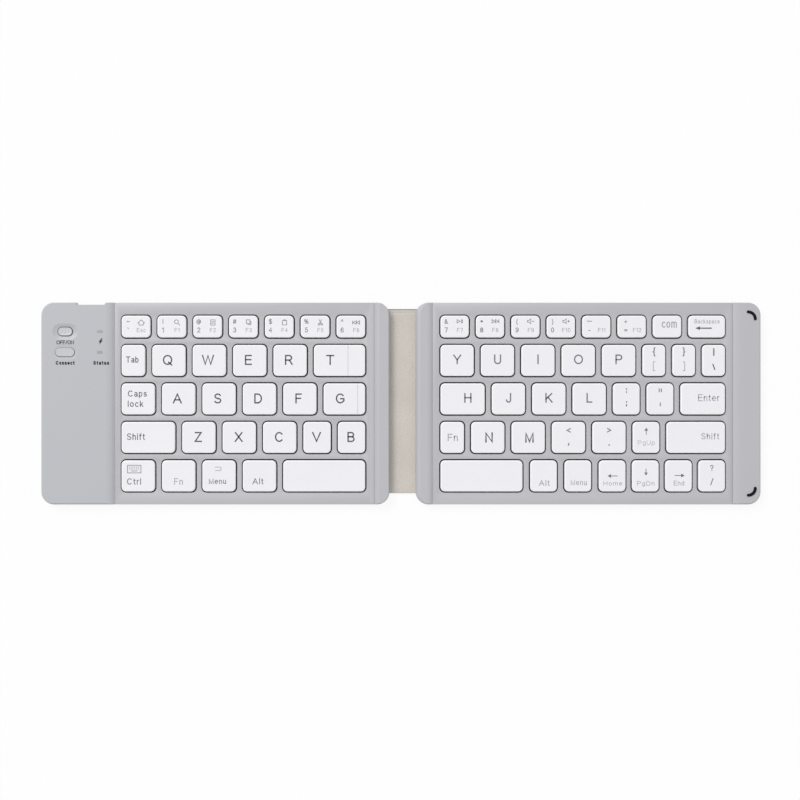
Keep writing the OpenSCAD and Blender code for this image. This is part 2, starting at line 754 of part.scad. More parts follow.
left_bottom_shell();
battery_cover();
left_key_panel();
left_hinge_rail();
left_membrane();
left_rubber_domes();
left_leather_cover();
battery();
main_board();
charging_port();
status_lamps();
power_switch_knob();
connect_button();
leather_spine();
spine_flat_cable();
right_bottom_shell();
right_key_panel();
right_hinge_rail();
right_end_rail();
right_membrane();
right_rubber_domes();
right_leather_cover();
arc_bumpers();
for (name = KEY_NODES)
    key_group(name);
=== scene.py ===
"""Looks of the folding keyboard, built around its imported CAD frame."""

import math

import bmesh
import bpy
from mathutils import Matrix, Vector


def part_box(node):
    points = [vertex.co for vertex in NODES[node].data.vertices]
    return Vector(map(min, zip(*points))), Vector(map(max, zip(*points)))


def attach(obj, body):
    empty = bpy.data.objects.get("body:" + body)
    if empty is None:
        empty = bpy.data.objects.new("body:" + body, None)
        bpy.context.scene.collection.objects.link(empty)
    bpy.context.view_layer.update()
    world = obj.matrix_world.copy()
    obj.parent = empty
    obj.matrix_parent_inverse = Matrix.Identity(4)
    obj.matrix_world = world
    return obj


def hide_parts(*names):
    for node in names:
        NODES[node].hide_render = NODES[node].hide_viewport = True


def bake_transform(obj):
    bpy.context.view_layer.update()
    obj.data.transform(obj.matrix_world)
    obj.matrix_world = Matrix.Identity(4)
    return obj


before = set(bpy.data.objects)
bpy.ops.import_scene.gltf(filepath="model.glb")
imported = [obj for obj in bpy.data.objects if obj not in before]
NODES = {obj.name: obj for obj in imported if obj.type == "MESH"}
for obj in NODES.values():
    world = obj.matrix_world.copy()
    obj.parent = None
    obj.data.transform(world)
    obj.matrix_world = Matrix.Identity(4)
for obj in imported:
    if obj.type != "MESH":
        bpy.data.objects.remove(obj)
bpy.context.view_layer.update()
MM = 0.001

# Heights from part.scad
RIM_Z, LEATHER_Z, FLOOR_Z, SKIRT_Z, PANEL_Z, RAIL_Z, KEY_Z, COVER_Z = 0.3, 0.8, 1.4, 3.1, 3.9, 5.0, 5.1, 5.2
# The case: wall, roof, outer corner radius and half its depth
WALL, ROOF, CORNER_R, BACK_Y = 1.2, 0.7, 5.3, 42.5
# The leather: its front and back edges, and its distance from the case's far ends
LEATHER_Y0, LEATHER_Y1, LEATHER_INSET = -38, 40, 2.5
# Edges that bend by more than this many degrees stay sharp
SHARP = 38.0


def box_mm(node):
    lo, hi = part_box(node)
    return [c / MM for c in lo], [c / MM for c in hi]


def cosd(a):
    return math.cos(math.radians(a))


def sind(a):
    return math.sin(math.radians(a))


def srgb(*values):
    return tuple(((v / 255 + 0.055) / 1.055) ** 2.4 if v > 10 else v / 255 / 12.92 for v in values)


# ---- mesh tools


def add_object(name, data):
    obj = bpy.data.objects.new(name, data)
    bpy.context.scene.collection.objects.link(obj)
    return obj


def weld(mesh, sharp=SHARP):
    """Joins doubled points, drops edges without length and shades the faces smooth up to an angle."""
    bm = bmesh.new()
    bm.from_mesh(mesh)
    bmesh.ops.remove_doubles(bm, verts=bm.verts, dist=2e-7)
    bmesh.ops.dissolve_degenerate(bm, dist=1e-7, edges=bm.edges)
    bm.to_mesh(mesh)
    bm.free()
    mesh.shade_smooth()
    mesh.set_sharp_from_angle(angle=math.radians(sharp))


class Shape:
    """Vertices and faces of one piece, with a material index for each face."""

    def __init__(self):
        self.verts, self.faces, self.slots = [], [], []

    def face(self, corners, slot=0):
        self.faces.append(tuple(corners))
        self.slots.append(slot)

    def loft(self, loops, closed=False, slot=0):
        """Skin through loops of the same count, capped at both ends unless it closes on itself. From above,
        anticlockwise loops that rise face outwards."""
        base, n = len(self.verts), len(loops[0])
        for loop in loops:
            self.verts += [tuple(p) for p in loop]
        for i in range(len(loops) - (0 if closed else 1)):
            a, b = base + i * n, base + (i + 1) % len(loops) * n
            for j in range(n):
                k = (j + 1) % n
                self.face((a + j, a + k, b + k, b + j), slot)
        if not closed:
            self.face([base + j for j in reversed(range(n))], slot)
            self.face([base + (len(loops) - 1) * n + j for j in range(n)], slot)

    def add(self, mesh, place):
        base = len(self.verts)
        self.verts += [place(v.co) for v in mesh.vertices]
        for p in mesh.polygons:
            self.face([base + v for v in p.vertices])

    def build(self, name, materials, sharp=SHARP):
        mesh = bpy.data.meshes.new(name)
        mesh.from_pydata([Vector(v) * MM for v in self.verts], [], self.faces)
        for m in materials:
            mesh.materials.append(m)
        mesh.polygons.foreach_set("material_index", self.slots)
        weld(mesh, sharp)
        return add_object(name, mesh)


def rounded(x0, x1, y0, y1, z, radii, steps, inset=0):
    """Rounded rectangle, anticlockwise from its +X +Y corner. inset is one value or four, for the sides
    +X, +Y, -X, -Y, and the corners keep their centres as the sides draw in."""
    radii, inset = (v if hasattr(v, "__len__") else (v,) * 4 for v in (radii, inset))
    east, north, west, south = inset
    x0, x1, y0, y1 = x0 + west, x1 - east, y0 + south, y1 - north
    pts = []
    for i, (sx, sy, dx, dy) in enumerate(
        ((1, 1, east, north), (-1, 1, west, north), (-1, -1, west, south), (1, -1, east, south))
    ):
        rx = min(max(radii[i] - dx, 0.04), x1 - x0 - 0.06)
        ry = min(max(radii[i] - dy, 0.04), y1 - y0 - 0.06)
        cx = (x1 if sx > 0 else x0) - sx * rx
        cy = (y1 if sy > 0 else y0) - sy * ry
        for s in range(steps + 1):
            a = 90 * i + 90 * s / steps
            pts.append((cx + rx * cosd(a), cy + ry * sind(a), z))
    return pts


def obround(cx, cy, length, width, z):
    r = width / 2
    return rounded(cx - length / 2, cx + length / 2, cy - r, cy + r, z, r - 1e-4, 12)


def round_ended(shape, x, y, length, width, *rings, slot=0):
    """Round-ended block or cutter. rings are (draw-in, height) from its foot up."""
    shape.loft([obround(x, y, length - 2 * inset, width - 2 * inset, z) for inset, z in rings], slot=slot)


def arc(cx, cy, r, a0, a1, steps=14, ry=None):
    angles = [a0 + (a1 - a0) * i / steps for i in range(steps + 1)]
    return [(cx + r * cosd(a), cy + (ry or r) * sind(a)) for a in angles]


def circle(cx, cy, r, z):
    return [(x, y, z) for x, y in arc(cx, cy, r, 0, 345, 23)]


def upright(x0, x1, z0, z1, r, y, steps):
    """Rounded rectangle that stands in the plane of X and Z, for a bar along Y."""
    return [(x, y, z) for x, z, _ in rounded(x0, x1, z0, z1, 0, r, steps)[::-1]]


def finish(obj, body, slot, *replaced):
    """Names the CAD nodes the piece stands for and the body it rides on; slot, the name of its material slot,
    is not used.
    """
    if replaced:
        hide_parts(*replaced)
    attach(obj, body)


def carve(obj, *cutters):
    """Takes the cutters' closed shapes out of obj, and keeps the result as plain mesh."""
    for cutter in cutters:
        tool = cutter.build("cutter", [obj.data.materials[0]])
        mod = obj.modifiers.new("cut", "BOOLEAN")
        mod.object, mod.operation, mod.solver = tool, "DIFFERENCE", "EXACT"
        bpy.context.view_layer.update()
        deps = bpy.context.evaluated_depsgraph_get()
        mesh = bpy.data.meshes.new_from_object(obj.evaluated_get(deps))
        obj.modifiers.remove(mod)
        old, obj.data = obj.data, mesh
        mesh.name = old.name
        bpy.data.meshes.remove(old)
        bpy.data.objects.remove(tool)
    weld(obj.data)
    normals = obj.modifiers.new("normals", "WEIGHTED_NORMAL")
    normals.keep_sharp, normals.weight = True, 90
    return obj


def prism(loop, z0, z1):
    shape = Shape()
    shape.loft([[(x, y, z0) for x, y, _ in loop], [(x, y, z1) for x, y, _ in loop]])
    return shape


# ---- materials


def noise(tree, coord, scale, detail, rough=0.5):
    node = tree.nodes.new("ShaderNodeTexNoise")
    node.inputs["Scale"].default_value = scale
    node.inputs["Detail"].default_value = detail
    node.inputs["Roughness"].default_value = rough
    tree.links.new(coord, node.inputs["Vector"])
    return node.outputs["Fac"]


def spread(tree, value, low, high, floor=0.3, ceiling=0.7):
    node = tree.nodes.new("ShaderNodeMapRange")
    for name, v in (("From Min", floor), ("From Max", ceiling), ("To Min", low), ("To Max", high)):
        node.inputs[name].default_value = v
    tree.links.new(value, node.inputs["Value"])
    return node.outputs["Result"]


def mixed(tree, factor, a, b):
    node = tree.nodes.new("ShaderNodeMix")
    node.data_type = "RGBA"
    tree.links.new(factor, node.inputs["Factor"])
    for socket, value in ((node.inputs[6], a), (node.inputs[7], b)):
        if hasattr(value, "links"):
            tree.links.new(value, socket)
        else:
            socket.default_value = (*value, 1)
    return node.outputs[2]


def node_of(tree, kind):
    return next(n for n in tree.nodes if n.type == kind)


# How far the roughness swings with the grain
SWING = 0.04


def finish_of(name, color, rough, vary, patch, grain, depth, **fixed):
    """Moulded or painted surface: a slow drift of the colour, and a fine grain in bump and roughness.
    fixed names more of the shader's inputs, with _ for a space."""
    mat = bpy.data.materials.new(name)
    mat.use_nodes = True
    tree = mat.node_tree
    shader = tree.nodes["Principled BSDF"]
    coord = tree.nodes.new("ShaderNodeTexCoord").outputs["Object"]
    drift = spread(tree, noise(tree, coord, patch, 3), 0, 1)
    fine = noise(tree, coord, grain, 3, 0.6)
    tones = [[min(c * share, 1) for c in srgb(*color)] for share in (1 - vary, 1 + vary)]
    tree.links.new(mixed(tree, drift, *tones), shader.inputs["Base Color"])
    tree.links.new(spread(tree, fine, rough - SWING, rough + SWING), shader.inputs["Roughness"])
    bump = tree.nodes.new("ShaderNodeBump")
    bump.inputs["Strength"].default_value = 0.5
    bump.inputs["Distance"].default_value = depth * MM
    tree.links.new(fine, bump.inputs["Height"])
    tree.links.new(bump.outputs["Normal"], shader.inputs["Normal"])
    for socket, value in fixed.items():
        shader.inputs[socket.replace("_", " ")].default_value = value
    return mat


def leather_finish():
    """Fine pebble grain over a matt beige skin."""
    sheen = {"Sheen_Weight": 0.08, "Sheen_Roughness": 0.6}
    mat = finish_of("leather", (213, 207, 199), 0.62, 0.04, 60, 9000, 0.004, **sheen)
    tree = mat.node_tree
    shader = tree.nodes["Principled BSDF"]
    coord = node_of(tree, "TEX_COORD").outputs["Object"]
    cells = tree.nodes.new("ShaderNodeTexVoronoi")
    cells.feature = "SMOOTH_F1"
    cells.inputs["Scale"].default_value = 1700
    tree.links.new(coord, cells.inputs["Vector"])
    creases = noise(tree, coord, 420, 5, 0.65)
    height = tree.nodes.new("ShaderNodeMath")
    height.operation = "MULTIPLY_ADD"
    tree.links.new(creases, height.inputs[0])
    height.inputs[1].default_value = 0.8
    tree.links.new(cells.outputs["Distance"], height.inputs[2])
    bump = node_of(tree, "BUMP")
    bump.inputs["Strength"].default_value = 0.6
    bump.inputs["Distance"].default_value = 0.05 * MM
    tree.links.new(height.outputs[0], bump.inputs["Height"])
    skin = shader.inputs["Base Color"].links[0].from_socket
    hollows = spread(tree, cells.outputs["Distance"], 0, 0.35, 0.1, 0.8)
    tone = mixed(tree, hollows, (1, 1, 1), (0.62, 0.6, 0.57))
    multiply = tree.nodes.new("ShaderNodeMix")
    multiply.data_type, multiply.blend_type = "RGBA", "MULTIPLY"
    multiply.inputs[0].default_value = 1
    tree.links.new(skin, multiply.inputs[6])
    tree.links.new(tone, multiply.inputs[7])
    tree.links.new(multiply.outputs[2], shader.inputs["Base Color"])
    return mat


def key_finish():
    """Off-white plastic, with a painted highlight: white where the cap's top rounds into its sides."""
    mat = finish_of("key_plastic", (243, 242, 246), 0.38, 0.008, 45, 2200, 0.004, Subsurface_Weight=0.06)
    tree = mat.node_tree
    shader = tree.nodes["Principled BSDF"]
    shader.inputs["Subsurface Radius"].default_value = (0.8 * MM,) * 3
    normal = tree.nodes.new("ShaderNodeSeparateXYZ")
    tree.links.new(node_of(tree, "TEX_COORD").outputs["Normal"], normal.inputs[0])
    face = shader.inputs["Base Color"].links[0].from_socket
    # Painted highlight: where the normal tilts from straight up, round the top's edge, the colour turns
    # white.
    rim = spread(tree, normal.outputs["Z"], 1, 0, 0.95, 0.9995)
    tree.links.new(mixed(tree, rim, face, (1, 1, 1)), shader.inputs["Base Color"])
    return mat


# Name, colour (0 to 255), roughness, share of the colour's drift, its scale, the grain's scale and depth
CASE = finish_of("case_plastic", (188, 187, 191), 0.46, 0.012, 25, 2600, 0.006, Metallic=0.08)
COVER = finish_of("cover_plastic", (187, 188, 193), 0.46, 0.010, 25, 2600, 0.006, Metallic=0.08)
PANEL = finish_of("panel_metal", (188, 187, 191), 0.5, 0.012, 30, 3200, 0.006, Metallic=0.1)
KEY = key_finish()
INK = finish_of("legend_ink", (76, 76, 82), 0.55, 0.05, 200, 4000, 0.002)
INK_MID = finish_of("legend_ink_grey", (118, 118, 124), 0.55, 0.05, 200, 4000, 0.002)
INK_PALE = finish_of("legend_ink_pale", (168, 168, 176), 0.55, 0.04, 200, 4000, 0.002)
INK_BLACK = finish_of("label_ink", (8, 8, 9), 0.5, 0.1, 200, 4000, 0.002)
LEATHER = leather_finish()
# Dark colour for the leather's back edge: painted shade along that rounding.
LEATHER_EDGE_SHADE = finish_of("leather_edge_painted_shade", (112, 108, 102), 0.5, 0.08, 300, 2500, 0.02)
RUBBER = finish_of("bumper_rubber", (9, 9, 10), 0.8, 0.15, 300, 3000, 0.02, Specular_IOR_Level=0.2)
# Dome rubber is coloured dark grey as painted shade, so the gaps round the caps read dark.
DOMES_DARK_AS_SHADE = finish_of("dome_rubber", (58, 58, 62), 0.6, 0.08, 150, 1800, 0.01)
# Membrane film is coloured dark grey as painted shade for the gaps round the caps.
FILM_DARK_AS_SHADE = finish_of("membrane_film", (70, 72, 76), 0.3, 0.06, 80, 1200, 0.002, Coat_Weight=0.3)
FOIL = finish_of("battery_foil", (172, 174, 178), 0.3, 0.06, 120, 700, 0.04, Metallic=0.9)
BOARD = finish_of("circuit_board", (26, 84, 52), 0.35, 0.25, 500, 900, 0.02, Coat_Weight=0.4)
METAL = finish_of("port_metal", (190, 191, 194), 0.26, 0.04, 200, 2500, 0.003, Metallic=1.0)
GOLD = finish_of("contact_gold", (214, 178, 104), 0.25, 0.05, 300, 2500, 0.002, Metallic=1.0)
INSERT = finish_of("port_tongue", (32, 32, 34), 0.45, 0.1, 300, 2500, 0.004)
LAMP = finish_of("lamp_window", (181, 181, 187), 0.25, 0.05, 500, 1800, 0.002, Transmission_Weight=0.15)
# Dark plate round the knob's foot: painted shade for the gap round the knob.
KNOB_GAP_SHADE = finish_of("knob_gap_painted_shade", (62, 62, 66), 0.6, 0.08, 200, 2600, 0.004)
KNOB = finish_of("knob_plastic", (203, 203, 208), 0.36, 0.02, 90, 2600, 0.004)
BUTTON = finish_of("button_plastic", (199, 199, 204), 0.34, 0.02, 90, 2600, 0.004)
CABLE = finish_of("cable_film", (176, 120, 52), 0.35, 0.1, 150, 900, 0.006, Coat_Weight=0.3)

for node, mat in {
    "left_membrane": FILM_DARK_AS_SHADE, "right_membrane": FILM_DARK_AS_SHADE, "left_rubber_domes": DOMES_DARK_AS_SHADE, "right_rubber_domes": DOMES_DARK_AS_SHADE,
    "battery": FOIL, "main_board": BOARD, "status_lamps": LAMP, "spine_flat_cable": CABLE,
}.items():
    NODES[node].data.materials.clear()
    NODES[node].data.materials.append(mat)

# ---- keys


def solids(node):
    """(x0, x1, y0, y1) of each separate solid of a CAD node, row by row from the back."""
    mesh, spots = NODES[node].data, {}
    ids = [spots.setdefault(tuple(round(c * 1e6) for c in v.co), len(spots)) for v in mesh.vertices]
    root = list(range(len(spots)))

    def find(i):
        while root[i] != i:
            root[i] = root[root[i]]
            i = root[i]
        return i

    for p in mesh.polygons:
        first = find(ids[p.vertices[0]])
        for v in p.vertices[1:]:
            root[find(ids[v])] = first
    groups = {}
    for i, v in zip(ids, mesh.vertices):
        groups.setdefault(find(i), []).append((v.co.x / MM, v.co.y / MM))
    boxes = [
        (min(p[0] for p in g), max(p[0] for p in g), min(p[1] for p in g), max(p[1] for p in g))
        for g in groups.values()
    ]
    return sorted(boxes, key=lambda b: (-round((b[2] + b[3]) / 10), b[0]))


KEY_R, KEY_FILLET, KEY_WALL, KEY_ROOF = 1.8, 0.5, 0.9, 0.8
# The hollow of a cap's top, as (distance in from its fillet, depth)
DISH = ((0.0, 0.0), (0.16, 0.0), (0.7, 0.012), (1.4, 0.035), (2.3, 0.055), (3.2, 0.062))


def key_top(box, x, y):
    """Height of a cap's slightly hollowed top at a point."""
    d = min(x - box[0], box[1] - x, y - box[2], box[3] - y) - KEY_FILLET
    for (d0, z0), (d1, z1) in zip(DISH, DISH[1:]):
        if d < d1:
            return KEY_Z - z0 - (z1 - z0) * max(d - d0, 0) / (d1 - d0)
    return KEY_Z - DISH[-1][1]


def key_cap(shape, box):
    """Hollow cap with a rounded rim, a dished top and a short stem inside."""
    x0, x1, y0, y1 = box

    def ring(inset, z):
        return rounded(x0, x1, y0, y1, z, KEY_R, 6, inset)

    loops = [ring(KEY_WALL, KEY_Z - KEY_ROOF), ring(KEY_WALL, SKIRT_Z + 0.05)]
    loops += [ring(KEY_WALL - 0.1, SKIRT_Z), ring(0.08, SKIRT_Z)]
    loops += [ring(0, SKIRT_Z + 0.08), ring(0, KEY_Z - KEY_FILLET)]
    for a in range(10, 91, 10):
        loops.append(ring(KEY_FILLET * (1 - cosd(a)), KEY_Z - KEY_FILLET + KEY_FILLET * sind(a)))
    for d, drop in DISH[1:]:
        loops.append(ring(KEY_FILLET + d, KEY_Z - drop))
    shape.loft(loops)
    cx, cy = (x0 + x1) / 2, (y0 + y1) / 2
    stem = ((1.1, SKIRT_Z), (1.3, SKIRT_Z + 0.2), (1.3, KEY_Z - 0.55))
    shape.loft([circle(cx, cy, r, z) for r, z in stem])


# A print's foot and top, from the surface
PRINT_Z0, PRINT_Z1 = -0.006, 0.014
CLOSED = "closed"


def stroke(shape, line, place, width, slot, top):
    """Printed line with square ends. place(x, y) gives the place of each of its points, and top(x, y) the
    height of the surface there. A line that ends in CLOSED is a loop."""
    closed = line[-1] == CLOSED
    pts = [Vector(place(*p)) for p in (line[:-1] if closed else line)]
    if not closed:
        pts[0] += (pts[0] - pts[1]).normalized() * width / 2
        pts[-1] += (pts[-1] - pts[-2]).normalized() * width / 2
    pts = [tuple(p) for p in pts]
    loops, n = [], len(pts)
    for i, (x, y) in enumerate(pts):
        before = pts[i - 1] if i or closed else None
        after = pts[(i + 1) % n] if i < n - 1 or closed else None
        ways = []
        for a, b in ((before, (x, y)), ((x, y), after)):
            if a and b:
                d = Vector((b[0] - a[0], b[1] - a[1])).normalized()
                ways.append(Vector((-d.y, d.x)))
        side = sum(ways, Vector((0, 0))).normalized()
        half = width / 2 / max(side.dot(ways[0]), 0.5)
        left, right = Vector((x, y)) + side * half, Vector((x, y)) - side * half
        zl, zr = top(*left), top(*right)
        loops.append([
            (right.x, right.y, zr + PRINT_Z1), (left.x, left.y, zl + PRINT_Z1),
            (left.x, left.y, zl + PRINT_Z0), (right.x, right.y, zr + PRINT_Z0),
        ])
    shape.loft(loops, closed=closed, slot=slot)


def oval(cx, cy, rx, ry, a0=0, a1=345):
    return arc(cx, cy, rx, a0, a1, max(6, abs(a1 - a0) // 15), ry)


def bowl(cx, cy, rx=None, ry=None):
    """Closed oval, which touches the axes if no radii are given."""
    return oval(cx, cy, rx or cx, ry or cy) + [CLOSED]


ARCH = [(0, 0.46)] + oval(0.22, 0.5, 0.22, 0.22, 165, 15) + [(0.44, 0)]
S_LINE = oval(0.31, 0.75, 0.28, 0.25, 25, 270) + oval(0.31, 0.25, 0.31, 0.25, 90, -155)
BRACE = [(0, 1), (0.11, 0.94), (0.11, 0.5), (0.24, 0.38), (0.11, 0.26), (0.11, -0.18), (0, -0.24)]
# Letters as the middle lines of their strokes: width, then lines. The cap height is 1, the baseline 0.
GLYPHS = {
    "A": (0.82, [(0, 0), (0.41, 1), (0.82, 0)], [(0.15, 0.34), (0.67, 0.34)]),
    "B": (0.62,
          [(0, 0.52), (0, 1), (0.36, 1)] + oval(0.36, 0.76, 0.21, 0.24, 75, -75) + [(0.36, 0.52), (0, 0.52)],
          [(0, 0.52), (0.38, 0.52)] + oval(0.38, 0.26, 0.24, 0.26, 75, -75) + [(0.38, 0), (0, 0), (0, 0.52)]),
    "C": (0.74, oval(0.38, 0.5, 0.38, 0.5, 42, 318)),
    "D": (0.68, [(0.3, 0), (0, 0), (0, 1), (0.3, 1)] + oval(0.3, 0.5, 0.38, 0.5, 75, -90)),
    "E": (0.6, [(0.58, 1), (0, 1), (0, 0), (0.6, 0)], [(0, 0.53), (0.55, 0.53)]),
    "F": (0.54, [(0.54, 1), (0, 1), (0, 0)], [(0, 0.51), (0.47, 0.51)]),
    "G": (0.79, oval(0.4, 0.5, 0.4, 0.5, 42, 318) + [(0.78, 0.24), (0.78, 0.47), (0.44, 0.47)]),
    "H": (0.66, [(0, 0), (0, 1)], [(0.66, 0), (0.66, 1)], [(0, 0.52), (0.66, 0.52)]),
    "I": (0, [(0, 0), (0, 1)]),
    "J": (0.44, [(0.44, 1), (0.44, 0.26)] + oval(0.22, 0.24, 0.22, 0.24, -15, -180)),
    "K": (0.66, [(0, 0), (0, 1)], [(0.62, 1), (0, 0.36)], [(0.22, 0.57), (0.66, 0)]),
    "L": (0.5, [(0, 1), (0, 0), (0.5, 0)]),
    "M": (0.76, [(0, 0), (0, 1), (0.38, 0), (0.76, 1), (0.76, 0)]),
    "N": (0.66, [(0, 0), (0, 1), (0.66, 0), (0.66, 1)]),
    "O": (0.86, bowl(0.43, 0.5)),
    "P": (0.62,
          [(0, 0), (0, 1), (0.36, 1)] + oval(0.36, 0.73, 0.26, 0.27, 75, -75) + [(0.36, 0.46), (0, 0.46)]),
    "Q": (0.86, bowl(0.43, 0.5), [(0.54, 0.24), (0.86, -0.08)]),
    "R": (0.68,
          [(0, 0), (0, 1), (0.38, 1)] + oval(0.38, 0.74, 0.25, 0.26, 75, -75) + [(0.38, 0.48), (0, 0.48)],
          [(0.36, 0.48), (0.47, 0.36), (0.68, 0)]),
    "S": (0.62, S_LINE),
    "T": (0.7, [(0, 1), (0.7, 1)], [(0.35, 1), (0.35, 0)]),
    "U": (0.64, [(0, 1), (0, 0.3)] + oval(0.32, 0.3, 0.32, 0.3, 195, 345) + [(0.64, 0.3), (0.64, 1)]),
    "V": (0.8, [(0, 1), (0.4, 0), (0.8, 1)]),
    "W": (1.14, [(0, 1), (0.28, 0), (0.57, 1), (0.86, 0), (1.14, 1)]),
    "X": (0.72, [(0.02, 1), (0.72, 0)], [(0, 0), (0.7, 1)]),
    "Y": (0.76, [(0, 1), (0.38, 0.44), (0.38, 0)], [(0.76, 1), (0.38, 0.44)]),
    "Z": (0.64, [(0.02, 1), (0.62, 1), (0, 0), (0.64, 0)]),
    "a": (0.44, oval(0.23, 0.53, 0.2, 0.19, 160, 15) + [(0.43, 0.5), (0.43, 0)],
          [(0.43, 0.42), (0.2, 0.38)] + oval(0.18, 0.19, 0.18, 0.19, 90, 270) + [(0.3, 0.03), (0.43, 0.17)]),
    "b": (0.48, [(0, 1), (0, 0)], bowl(0.24, 0.36)),
    "c": (0.45, oval(0.25, 0.36, 0.25, 0.36, 45, 315)),
    "d": (0.48, [(0.48, 1), (0.48, 0)], bowl(0.24, 0.36)),
    "e": (0.5, [(0, 0.38), (0.5, 0.38)] + oval(0.25, 0.36, 0.25, 0.36, 15, 318)),
    "f": (0.26, [(0.1, 0), (0.1, 0.82), (0.14, 0.95), (0.26, 0.99)], [(0, 0.7), (0.26, 0.7)]),
    "g": (0.47, bowl(0.23, 0.36), [(0.47, 0.72), (0.47, 0)] + oval(0.24, -0.02, 0.23, 0.24, -15, -150)),
    "h": (0.44, [(0, 1), (0, 0)], ARCH),
    "i": (0, [(0, 0), (0, 0.7)], [(0, 0.95), (0, 1)]),
    "k": (0.44, [(0, 1), (0, 0)], [(0.4, 0.7), (0, 0.28)], [(0.14, 0.42), (0.44, 0)]),
    "l": (0, [(0, 0), (0, 1)]),
    "m": (0.78, [(0, 0.7), (0, 0)], [(0, 0.46)] + oval(0.2, 0.52, 0.19, 0.2, 165, 15) + [(0.39, 0)],
          [(0.39, 0.46)] + oval(0.58, 0.52, 0.2, 0.2, 165, 15) + [(0.78, 0)]),
    "n": (0.44, [(0, 0.7), (0, 0)], ARCH),
    "o": (0.5, bowl(0.25, 0.36)),
    "p": (0.48, [(0, 0.72), (0, -0.28)], bowl(0.24, 0.36)),
    "r": (0.24, [(0, 0.7), (0, 0)], [(0, 0.46), (0.07, 0.64), (0.24, 0.7)]),
    "s": (0.42, oval(0.21, 0.54, 0.19, 0.17, 30, 270) + oval(0.21, 0.19, 0.21, 0.18, 90, -150)),
    "t": (0.24, [(0.09, 0.92), (0.09, 0.14), (0.15, 0.02), (0.24, 0.01)], [(0, 0.7), (0.24, 0.7)]),
    "u": (0.44, [(0, 0.7), (0, 0.22)] + oval(0.22, 0.22, 0.22, 0.22, 195, 345) + [(0.44, 0.28)],
          [(0.44, 0.7), (0.44, 0)]),
    "0": (0.52, bowl(0.26, 0.5)),
    "1": (0.24, [(0, 0.76), (0.24, 1), (0.24, 0)]),
    "2": (0.52, oval(0.26, 0.73, 0.25, 0.27, 165, -30) + [(0, 0), (0.52, 0)]),
    "3": (0.52, oval(0.25, 0.76, 0.22, 0.24, 150, -90), oval(0.25, 0.26, 0.27, 0.26, 90, -150)),
    "4": (0.54, [(0.4, 0), (0.4, 1), (0, 0.32), (0.54, 0.32)]),
    "5": (0.52, [(0.48, 1), (0.1, 1), (0.05, 0.5)] + oval(0.25, 0.32, 0.27, 0.32, 135, -150)),
    "6": (0.52, oval(0.3, 0.5, 0.3, 0.5, 50, 180) + [(0, 0.3)], bowl(0.27, 0.31, 0.25, 0.31)),
    "7": (0.52, [(0, 1), (0.52, 1), (0.18, 0)]),
    "8": (0.52, bowl(0.26, 0.76, 0.22, 0.24), bowl(0.26, 0.26)),
    "9": (0.5, bowl(0.25, 0.7, 0.25, 0.3), [(0.5, 0.66)] + oval(0.2, 0.5, 0.3, 0.5, 0, -130)),
    "!": (0, [(0, 1), (0, 0.3)], [(0, 0.04), (0, 0)]),
    "@": (0.9, oval(0.45, 0.42, 0.45, 0.52, -15, 300), bowl(0.43, 0.42, 0.17, 0.22),
          [(0.62, 0.64), (0.6, 0.3), (0.74, 0.22), (0.88, 0.3)]),
    "#": (0.62, [(0.1, 0), (0.22, 1)], [(0.4, 0), (0.52, 1)],
          [(0, 0.33), (0.56, 0.33)], [(0.06, 0.67), (0.62, 0.67)]),
    "$": (0.62, S_LINE, [(0.31, 1.12), (0.31, -0.12)]),
    "%": (0.86, bowl(0.16, 0.76, 0.16, 0.24), bowl(0.7, 0.24, 0.16, 0.24), [(0.22, 0), (0.64, 1)]),
    "^": (0.4, [(0, 0.55), (0.2, 1), (0.4, 0.55)]),
    "&": (0.68, [(0.68, 0), (0.16, 0.68), (0.14, 0.86), (0.28, 1), (0.42, 0.86), (0.36, 0.64),
                 (0.06, 0.38), (0, 0.18), (0.14, 0), (0.34, 0.02), (0.58, 0.38)]),
    "*": (0.36, [(0.18, 1), (0.18, 0.6)], [(0, 0.9), (0.36, 0.7)], [(0, 0.7), (0.36, 0.9)]),
    "(": (0.18, oval(0.42, 0.38, 0.42, 0.78, 125, 235)),
    ")": (0.18, oval(-0.24, 0.38, 0.42, 0.78, 55, -55)),
    "_": (0.56, [(0, 0), (0.56, 0)]),
    "-": (0.3, [(0, 0.38), (0.3, 0.38)]),
    "+": (0.52, [(0, 0.44), (0.52, 0.44)], [(0.26, 0.7), (0.26, 0.18)]),
    "=": (0.52, [(0, 0.56), (0.52, 0.56)], [(0, 0.3), (0.52, 0.3)]),
    "~": (0.56, [(0, 0.4), (0.12, 0.54), (0.22, 0.52), (0.34, 0.42), (0.44, 0.4), (0.56, 0.54)]),
    "`": (0.12, [(0, 1), (0.12, 0.82)]),
    "{": (0.24, [(0.24 - x, y) for x, y in BRACE]),
    "}": (0.24, BRACE),
    "[": (0.2, [(0.2, 1), (0, 1), (0, -0.24), (0.2, -0.24)]),
    "]": (0.2, [(0, 1), (0.2, 1), (0.2, -0.24), (0, -0.24)]),
    "|": (0, [(0, 1), (0, -0.24)]),
    "\\": (0.34, [(0, 1), (0.34, 0)]),
    ":": (0, [(0, 0.7), (0, 0.64)], [(0, 0.06), (0, 0)]),
    ";": (0, [(0, 0.7), (0, 0.64)], [(0.02, 0.06), (0.02, 0), (-0.04, -0.16)]),
    '"': (0.22, [(0, 1), (0, 0.7)], [(0.22, 1), (0.22, 0.7)]),
    "'": (0, [(0, 1), (0, 0.7)]),
    "<": (0.5, [(0.5, 0.74), (0, 0.44), (0.5, 0.14)]),
    ">": (0.5, [(0, 0.74), (0.5, 0.44), (0, 0.14)]),
    ",": (0, [(0.02, 0.06), (0.02, 0), (-0.04, -0.16)]),
    ".": (0, [(0, 0.06), (0, 0)]),
    "?": (0.48, oval(0.24, 0.76, 0.24, 0.24, 170, -45) + [(0.24, 0.44), (0.24, 0.28)],
          [(0.24, 0.04), (0.24, 0)]),
    "/": (0.34, [(0, 0), (0.34, 1)]),
}


